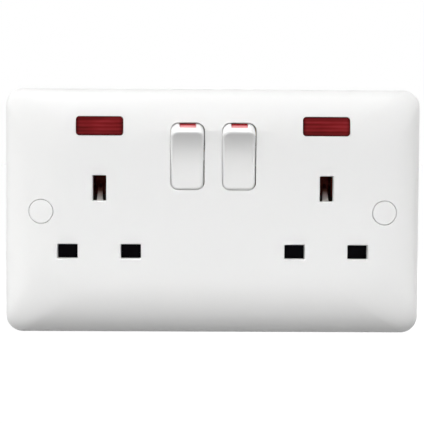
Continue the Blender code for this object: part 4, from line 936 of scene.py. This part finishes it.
def makeLens(side):
    place = lensPlace[side] + lens["shift"][side]
    halfX, halfZ = lens["width"] / 2 - lens["gap"], lens["height"] / 2 - lens["gap"]
    front, flange, pitch = lens["flangeFront"], lens["flange"], lens["ribPitch"]
    body = tile(
        "lens", halfX, halfZ, lens["corner"] - lens["gap"], lens["edge"],
        lambda x, z: faceY(place.x + x, place.z + z),
        lambda outline: [[(x, front + cutPast, z) for x, y, z in outline]],
        rows=40, columns=40, cornerRows=8,
    )
    back = front + lens["flangeThickness"]
    combined(body, "UNION", block(
        (-halfX - flange, front, -halfZ - flange), (halfX + flange, back, halfZ + flange)
    ))
    shaded(body, 40)
    moved(body, Matrix.Translation((place.x, 0, place.z)))
    grown(body, trees["ribs"], {
        "Count": 5, "Pitch": pitch, "Length": lens["width"] * 0.9, "Rib": lens["rib"],
        "Place": (place.x, back, place.z - 2 * pitch), "Material": finishes["lens"],
    })
    # how far in from the edge each point lies, for the painted shade at the rim
    marked(body, "inside", lambda point: clamped(
        edgeDistance(point.x - place.x, point.z - place.z, halfX, halfZ, lens["corner"]) / lens["rim"]
    ))
    finished(body, f"neonLens_{side}", f"indicator_lens_{side}", "red_plastic", "lens")


# Caps and screws

cap = {
    "radius": 0.0042, "wall": 0.0008, "edge": 0.00022,
    "sunk": 0.00008, "rings": 12,        # its front follows the sloping face
}
fixing = {
    "radius": 0.00175, "head": 0.0033, "crown": 0.0010, "pitch": 0.0006, "slot": 0.0009, "slotDepth": 0.0011,
    "plain": 0.0030, "runOut": 0.0003,       # its smooth shank, and the step down to the thread
}
boxScrew = {
    "radius": 0.00145, "head": 0.0027, "headHeight": 0.0017, "pitch": 0.00055,
    "cross": (0.0017, 0.0003, 0.0009), "point": 0.0010, "neck": 0.0006,
}
clampScrew = {
    "radius": 0.0016, "head": 0.0026, "headHeight": 0.0018, "pitch": 0.0005, "slot": 0.0008,
    "foot": 0.0005, "neck": 0.0002,
}


def makeCap(side):
    low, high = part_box(f"screw_cap_{side}")
    x, radius, wall, edge = middle(f"screw_cap_{side}").x, cap["radius"], cap["wall"], cap["edge"]

    def front(ringRadius, drop):
        return circleRing(
            x, 0, ringRadius, lambda px, pz: min(faceY(px, pz) + cap["sunk"] + drop, low.y), 72
        )

    rings = [[(x, faceY(x, 0) + cap["sunk"], 0)]]
    rings += [front((radius - edge) * step / cap["rings"], 0) for step in range(1, cap["rings"] + 1)]
    rings += [front(radius - edge * (1 - sine), edge * (1 - cosine)) for sine, cosine in quarterTurn(4, 1)]
    rings += [
        circleRing(x, 0, ringRadius, y, 72) for ringRadius, y in (
            (radius, high.y - edge), (radius - edge, high.y), (radius - wall + edge, high.y),
            (radius - wall, high.y - edge), (radius - wall, low.y + wall),
        )
    ]
    rings.append([(x, low.y + wall, 0)])
    body = shaded(ringedSolid("cap", rings), 40)
    finished(body, f"screwCover_{side}", f"screw_cap_{side}", "white_moulding", "white")


# A turned blank with its drive cut, and a thread from one y to another.
def makeScrew(node, name, values, profile, edges, cutters, threadFrom, threadTo):
    blank = lathe("blank", rounded(profile, edges), 40)
    combined(blank, "DIFFERENCE", *cutters)
    shaded(blank, 40)
    stand = Matrix.Translation((0, threadTo, 0)) @ Matrix.Rotation(pi / 2, 4, "X")
    moved(blank, stand.inverted())
    grown(blank, trees["thread"], {
        "Core": coreOf(values), "Pitch": values["pitch"], "Length": threadTo - threadFrom,
        "Material": finishes["zinc"],
    })
    place = middle(node)
    moved(blank, Matrix.Translation((place.x, 0, place.z)) @ stand)
    finished(blank, name, node, "steel", "zinc")


def coreOf(values):
    return values["radius"] - values["pitch"] / 2


# A cutter for a slot across a head, from one y to another.
def slotAcross(values, near, far):
    half, length = values["slot"] / 2, values["head"] + cutPast
    return block((-length, near, -half), (length, far, half))


def makeFixingScrew(side):
    node = f"fixing_screw_{side}"
    low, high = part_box(node)
    seat, radius, core, head = recess["floor"] - fitGap, fixing["radius"], coreOf(fixing), fixing["head"]
    thread, tip = seat + fixing["plain"] + fixing["runOut"], high.y - fixing["crown"]
    makeScrew(node, f"plateScrew_{side}", fixing, [
        (0, low.y), (head * 0.6, low.y), (head, low.y + fixing["crown"]), (head, seat), (radius, seat),
        (radius, seat + fixing["plain"]), (core, thread), (core, tip), (core * 0.6, high.y), (0, high.y),
    ], {1: 0.0008, 2: 0.0003, 3: 0.00015, 8: 0.0002}, [
        slotAcross(fixing, low.y - cutPast, low.y + fixing["slotDepth"]),
    ], thread + fixing["runOut"], tip)


def makeBoxScrew(side, level):
    node = f"housing_screw_{side}_{level}"
    low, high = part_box(node)
    seat, core, head = high.y - boxScrew["headHeight"], coreOf(boxScrew), boxScrew["head"]
    point = low.y + boxScrew["point"]
    long, half, depth = boxScrew["cross"]
    makeScrew(node, f"boxScrew_{side}_{level}", boxScrew, [
        (0, low.y), (core * 0.5, low.y), (core, point), (core, seat - boxScrew["neck"]), (core, seat),
        (head, seat), (head, high.y), (0, high.y),
    ], {1: 0.0002, 5: 0.00015, 6: 0.0007}, [
        block((-x, high.y - depth, -z), (x, high.y + cutPast, z)) for x, z in ((long, half), (half, long))
    ], point, seat - boxScrew["point"])


def makeClampScrew(name):
    node = f"terminal_screw_{name}"
    low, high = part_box(node)
    seat, core, head = high.y - clampScrew["headHeight"], coreOf(clampScrew), clampScrew["head"]
    makeScrew(node, f"clampScrew_{name}", clampScrew, [
        (0, low.y), (core, low.y), (core, seat), (head, seat), (head, high.y), (0, high.y),
    ], {1: 0.0004, 3: 0.00015, 4: 0.0003}, [
        slotAcross(clampScrew, high.y - clampScrew["slot"], high.y + cutPast),
    ], low.y + clampScrew["foot"], seat - clampScrew["neck"])


# Springs and plungers

plungerSpring = {"radius": 0.00100, "wire": 0.00020, "turns": 5.0, "start": -0.0027, "end": 0.0007}
shutterSpring = {"radius": 0.00075, "wire": 0.00020, "turns": 5.0}
plunger = {
    "radius": 0.00115, "tail": 0.0010, "tip": 0.0101, "waist": 0.00105,
    "chamfer": 0.0002, "tailShare": 0.85, "waistSteps": (0.0040, 0.0043, 0.0062, 0.0065),
}


# A spring along +Z from z = 0, measured to the wire's outside.
def coiled(values, height):
    seed = meshFrom("seed", bmesh.new())
    spring = grown(seed, trees["coil"], {
        "Radius": values["radius"], "Wire": values["wire"], "Turns": values["turns"],
        "Height": height - 2 * values["wire"], "Material": finishes["spring"],
    })
    return moved(spring, Matrix.Translation((0, 0, values["wire"])))


# A spring, finished as a piece and given a mesh of its own.
def sprung(spring, name, body, node):
    finished(spring, name, node, "spring_steel", "spring", body)
    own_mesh(spring)


def makeSprings(side):
    tilt = rockerTilt(side)
    start = Vector((0, plungerSpring["start"], 0))
    length = plungerSpring["end"] - plungerSpring["start"]
    spring = coiled(plungerSpring, length)
    moved(spring, tilt @ Matrix.Translation(start) @ Matrix.Rotation(-pi / 2, 4, "X"))
    sprung(
        spring, f"plungerCoil_{side}", f"rocker_{side}", f"plunger_spring_{side}",
    )
    node = f"shutter_spring_{side}"
    low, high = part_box(node)
    foot = Vector((middle(node).x, middle(node).y, low.z))
    spring = moved(coiled(shutterSpring, high.z - low.z), Matrix.Translation(foot))
    sprung(
        spring, f"shutterCoil_{side}", "socket", node,
    )
    radius, tail, waist = plunger["radius"], plunger["tail"], plunger["waist"]
    profile = [(0, tail), (radius * plunger["tailShare"], tail), (radius, tail + plunger["chamfer"])]
    profile += zip((radius, waist, waist, radius), plunger["waistSteps"])
    tipStart = plunger["tip"] - radius
    profile += [(radius * cosine, tipStart + radius * sine) for sine, cosine in quarterTurn(8)]
    profile[-1] = (0, plunger["tip"])
    pin = shaded(moved(lathe("plunger", profile, 32), tilt), 40)
    finished(pin, f"plungerPin_{side}", f"plunger_{side}", "steel", "zinc", f"plunger_{side}")


# Neon lamps, resistors and their leads

lamp = {
    "radius": 0.0022, "half": 0.0068, "neck": 0.0010, "pinch": 0.0010, "shoulder": 0.0022, "tip": 0.0008,
    "electrode": 0.00028, "electrodeGap": 0.0010, "electrodeFoot": 0.0012, "electrodeEnd": 0.0038,
    "electrodeStep": 0.0006,     # the second one is this much shorter
    "electrodeBend": 0.003,
}
resistor = {
    "radius": 0.0011, "half": 0.0032, "waist": 0.0009, "cap": 0.0014, "shoulder": 0.0018,
    "bodyColour": (0.55, 0.42, 0.26),
    "bandStarts": (0.14, 0.34, 0.48, 0.80), "bandWidth": 0.07,
    "bandColours": ((0.20, 0.07, 0.02), (0.02, 0.02, 0.02), (0.55, 0.16, 0.02), (0.42, 0.30, 0.08)),
}
lead = {
    "radius": 0.00035, "bend": 0.0018, "ease": 0.0020, "dropX": 0.0062, "dropY": 0.0040, "corner": 0.0009,
    "stepBack": 0.001, "stepDown": 0.003, "land": 0.0030,
}


# A round wire through the points, with each of its bends eased.
def wire(name, route, radius):
    points = rounded(route, {i: lead["corner"] for i in range(1, len(route) - 1)})
    curve = bpy.data.curves.new(name, "CURVE")
    curve.dimensions = "3D"
    curve.bevel_depth, curve.bevel_resolution, curve.use_fill_caps = radius, 3, True
    spline = curve.splines.new("POLY")
    spline.points.add(len(points) - 1)
    for point, place in zip(spline.points, points):
        point.co = (*place, 1)
    drawn = placed(name, curve)
    bm = bmesh.new()
    bm.from_mesh(meshOf(drawn))
    bpy.data.objects.remove(drawn)
    bmesh.ops.remove_doubles(bm, verts=bm.verts, dist=1e-6)
    return meshFrom(name, bm)


def makeLampParts(side):
    centre = middle(f"neon_lamp_{side}")
    half, radius, neck, shoulder = lamp["half"], lamp["radius"], lamp["neck"], lamp["shoulder"]
    acrossX = Matrix.Rotation(-pi / 2, 4, "Z")
    profile = rounded([
        (0, -half), (neck, -half), (neck, -half + lamp["pinch"]), (radius, -half + shoulder),
        (radius, half - shoulder), (neck * 0.7, half - lamp["tip"]), (0, half),
    ], {1: 0.0004, 2: 0.0005, 3: 0.0012, 4: 0.0014, 5: 0.0005})
    bulb = shaded(moved(lathe("bulb", profile, 48), Matrix.Translation(centre) @ acrossX), 60)
    finished(bulb, f"neonBulb_{side}", f"neon_lamp_{side}", "glass", "glass")
    for number, shift in enumerate((-1, 1)):
        axis = centre + Vector((0, 0, shift * lamp["electrodeGap"] / 2))
        start = axis - Vector((half - lamp["electrodeFoot"], 0, 0))
        end = axis + Vector((half - lamp["electrodeEnd"] - lamp["electrodeStep"] * number, 0, 0))
        route = [start, start + Vector((lamp["electrodeBend"], 0, 0)), end]
        pin = shaded(wire("electrode", route, lamp["electrode"]), 50)
        finished(pin, f"electrode_{side}_{number + 1}", None, "steel", "nickel")
    half, radius, waist = resistor["half"], resistor["radius"], resistor["waist"]
    halfProfile = [
        (0, half), (radius, half), (radius, half - resistor["cap"]), (waist, half - resistor["shoulder"])
    ]
    profile = rounded(
        [(r, -y) for r, y in halfProfile] + halfProfile[::-1],
        {1: 0.0005, 2: 0.0004, 3: 0.0004, 4: 0.0004, 5: 0.0004, 6: 0.0005},
    )
    body = shaded(lathe("resistor", profile, 40), 60)
    marked(body, "along", lambda point: 0.5 + point.y / (2 * half))
    moved(body, Matrix.Translation(middle(f"resistor_{side}")) @ acrossX)
    finished(body, f"dropperResistor_{side}", f"resistor_{side}", "resistor_body", "resistor")


def makeLeads(side):
    bulb, body = middle(f"neon_lamp_{side}"), middle(f"resistor_{side}")
    lampEnd, bodyEnd = lamp["half"] + fitGap, resistor["half"] + fitGap
    x, out = bulb.x, lampEnd + lead["bend"]
    tapLow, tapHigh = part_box(f"live_lead_{side}")
    tapX = tapLow.x + lead["radius"]
    if side == "right" or tapX <= body.x:
        tapX = tapHigh.x - lead["radius"]
    tapZ = body.z if tapHigh.z - tapLow.z < 3 * lead["radius"] else tapLow.z + lead["radius"]
    dropX, dropY, ease = x + lead["dropX"], lead["dropY"], lead["ease"]
    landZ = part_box("terminal_live")[1].z + lead["land"]
    routes = {
        "lamp_lead": ("lampWire", [
            (x - lampEnd, bulb.y, bulb.z), (x - out, bulb.y, bulb.z),
            (x - out, bulb.y + lead["stepBack"], bulb.z - lead["stepDown"]),
            (x - out, body.y, body.z), (x - bodyEnd, body.y, body.z),
        ]),
        "live_lead": ("liveWire", [
            (x + bodyEnd, body.y, body.z), (tapX, body.y, body.z),
            (tapX, body.y + ease, tapZ), (tapX, tapHigh.y, tapZ),
        ]),
        "neutral_lead": ("neutralWire", [
            (x + lampEnd, bulb.y, bulb.z), (x + out, bulb.y, bulb.z),
            (x + out, dropY - ease / 2, bulb.z - ease), (dropX, dropY, body.z - 2 * ease),
            (dropX, dropY, landZ + ease), (dropX, dropY + ease, landZ),
            (dropX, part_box(f"neutral_lead_{side}")[1].y, landZ),
        ]),
    }
    for node, (name, points) in routes.items():
        piece = shaded(wire(node, points, lead["radius"]), 50)
        finished(piece, f"{name}_{side}", f"{node}_{side}", "steel", "nickel")


# Pieces that keep their CAD form, with their edges eased

easedPieces = (
    # node, piece's name, body, slot, finish, edge, where a star stands for each side
    ("rear_housing", "rearHousing", "socket", "housing_plastic", "housing", 0.00028),
    ("live_bar", "liveBar", "socket", "brass", "brass", 0.00012),
    ("neutral_bar", "neutralBar", "socket", "brass", "brass", 0.00012),
    ("earth_bar", "earthBar", "socket", "brass", "bronze", 0.00012),
    ("live_contact_*", "liveContact_*", "socket", "brass", "brass", 0.00012),
    ("terminal_live", "clampBlock_live", "socket", "brass", "brass", 0.00025),
    ("terminal_neutral", "clampBlock_neutral", "socket", "brass", "brass", 0.00025),
    ("terminal_earth_*", "clampBlock_earth_*", "socket", "brass", "brass", 0.00025),
    ("contact_blade_*", "seeSaw_*", "contact_blade_*", "copper", "copper", 0.00012),
    ("shutter_*", "shutterPlate_*", "shutter_*", "shutter_plastic", "shutter", 0.00018),
    ("shutter_cam_*", "shutterCam_*", "shutter_*", "cam_plastic", "cam", 0.00022),
    ("shutter_frame_*", "shutterTray_*", "socket", "shutter_plastic", "tray", 0.00018),
)


def makeEasedPieces():
    for *names, slotName, finish, edge in easedPieces:
        for side in sides if "*" in names[0] else ("",):
            node, name, body = (word.replace("*", side) for word in names)
            finished(eased(node, edge), name, node, slotName, finish, body)


# Making everything

trees = {"coil": makeCoilTree(), "thread": makeThreadTree(), "ribs": makeRibTree()}
mouldings = {
    # material, darker and lighter colour, gloss, grain's scale and depth, unevenness, specular level
    "white": ("whiteMoulding", (0.812, 0.812, 0.807), (0.820, 0.820, 0.815), 0.30, 1700, 0.000008, 0.02, 0.5),
    "housing": ("housingPlastic", (0.085, 0.042, 0.027), (0.12, 0.062, 0.040), 0.42, 900, 0.00004, 0.12, 0.5),
    "tray": ("trayPlastic", (0.012, 0.008, 0.006), (0.020, 0.014, 0.010), 0.55, 900, 0.00003, 0.12, 0.1),
    "shutter": (
        "shutterPlastic", (0.0025, 0.002, 0.003), (0.004, 0.003, 0.005), 0.55, 1100, 0.00002, 0.12, 0.04
    ),
}
metals = {
    # material, darker and lighter colour, gloss, stretch of the rolling lines
    "brass": ("rolledBrass", (0.60, 0.42, 0.17), (0.78, 0.58, 0.27), 0.34, (0.05, 1, 1)),
    # the earth bar's dark red-brown is painted shade: bronze as it looks in the slot's shade
    "bronze": ("earthBronze", (0.10, 0.018, 0.012), (0.17, 0.035, 0.024), 0.48, (1, 0.05, 1)),
    "copper": ("bladeCopper", (0.62, 0.27, 0.16), (0.80, 0.40, 0.26), 0.32, (1, 1, 0.05)),
    "zinc": ("platedSteel", (0.55, 0.55, 0.54), (0.70, 0.70, 0.69), 0.30, (1, 0.1, 1)),
    "nickel": ("tinnedWire", (0.60, 0.60, 0.60), (0.78, 0.78, 0.77), 0.26, (0.1, 1, 1)),
    "spring": ("springWire", (0.42, 0.42, 0.42), (0.58, 0.58, 0.57), 0.28, (1, 1, 0.1)),
}
finishes = {
    "cam": painted("camPlastic", camPlastic), "flag": painted("flagRed", flagPlastic),
    "lens": painted("redLens", redLensPlastic), "glass": painted("lampGlass", lampGlass),
    "resistor": painted("resistorPaint", resistorPaint),
}
for table, inputsOf in ((mouldings, mouldedPlastic), (metals, rolledMetal)):
    for key, (name, *values) in table.items():
        finishes[key] = painted(name, inputsOf, *values)
print("finishes and node trees made:", len(finishes), len(trees))

makeCamera()
makeStage()
makeWorld()
for lampName, lampValues in lamps.items():
    makeLamp(lampName, *lampValues)
print("camera, stage and lights made")

makePlate()
print("front plate made")
for side in sides:
    makeRocker(side)
    makeLens(side)
    makeCap(side)
    makeFixingScrew(side)
    makeSprings(side)
    makeLampParts(side)
    makeLeads(side)
    for level in ("upper", "lower"):
        makeBoxScrew(side, level)
    print(side, "rocker, lens, cap, springs, lamp and screws made")
for terminalName in ("live", "neutral", "earth_left", "earth_right"):
    makeClampScrew(terminalName)
makeEasedPieces()
print("contacts, terminals, shutters and housing made")

bpy.context.scene.view_settings.view_transform = "Standard"
bpy.context.view_layer.update()
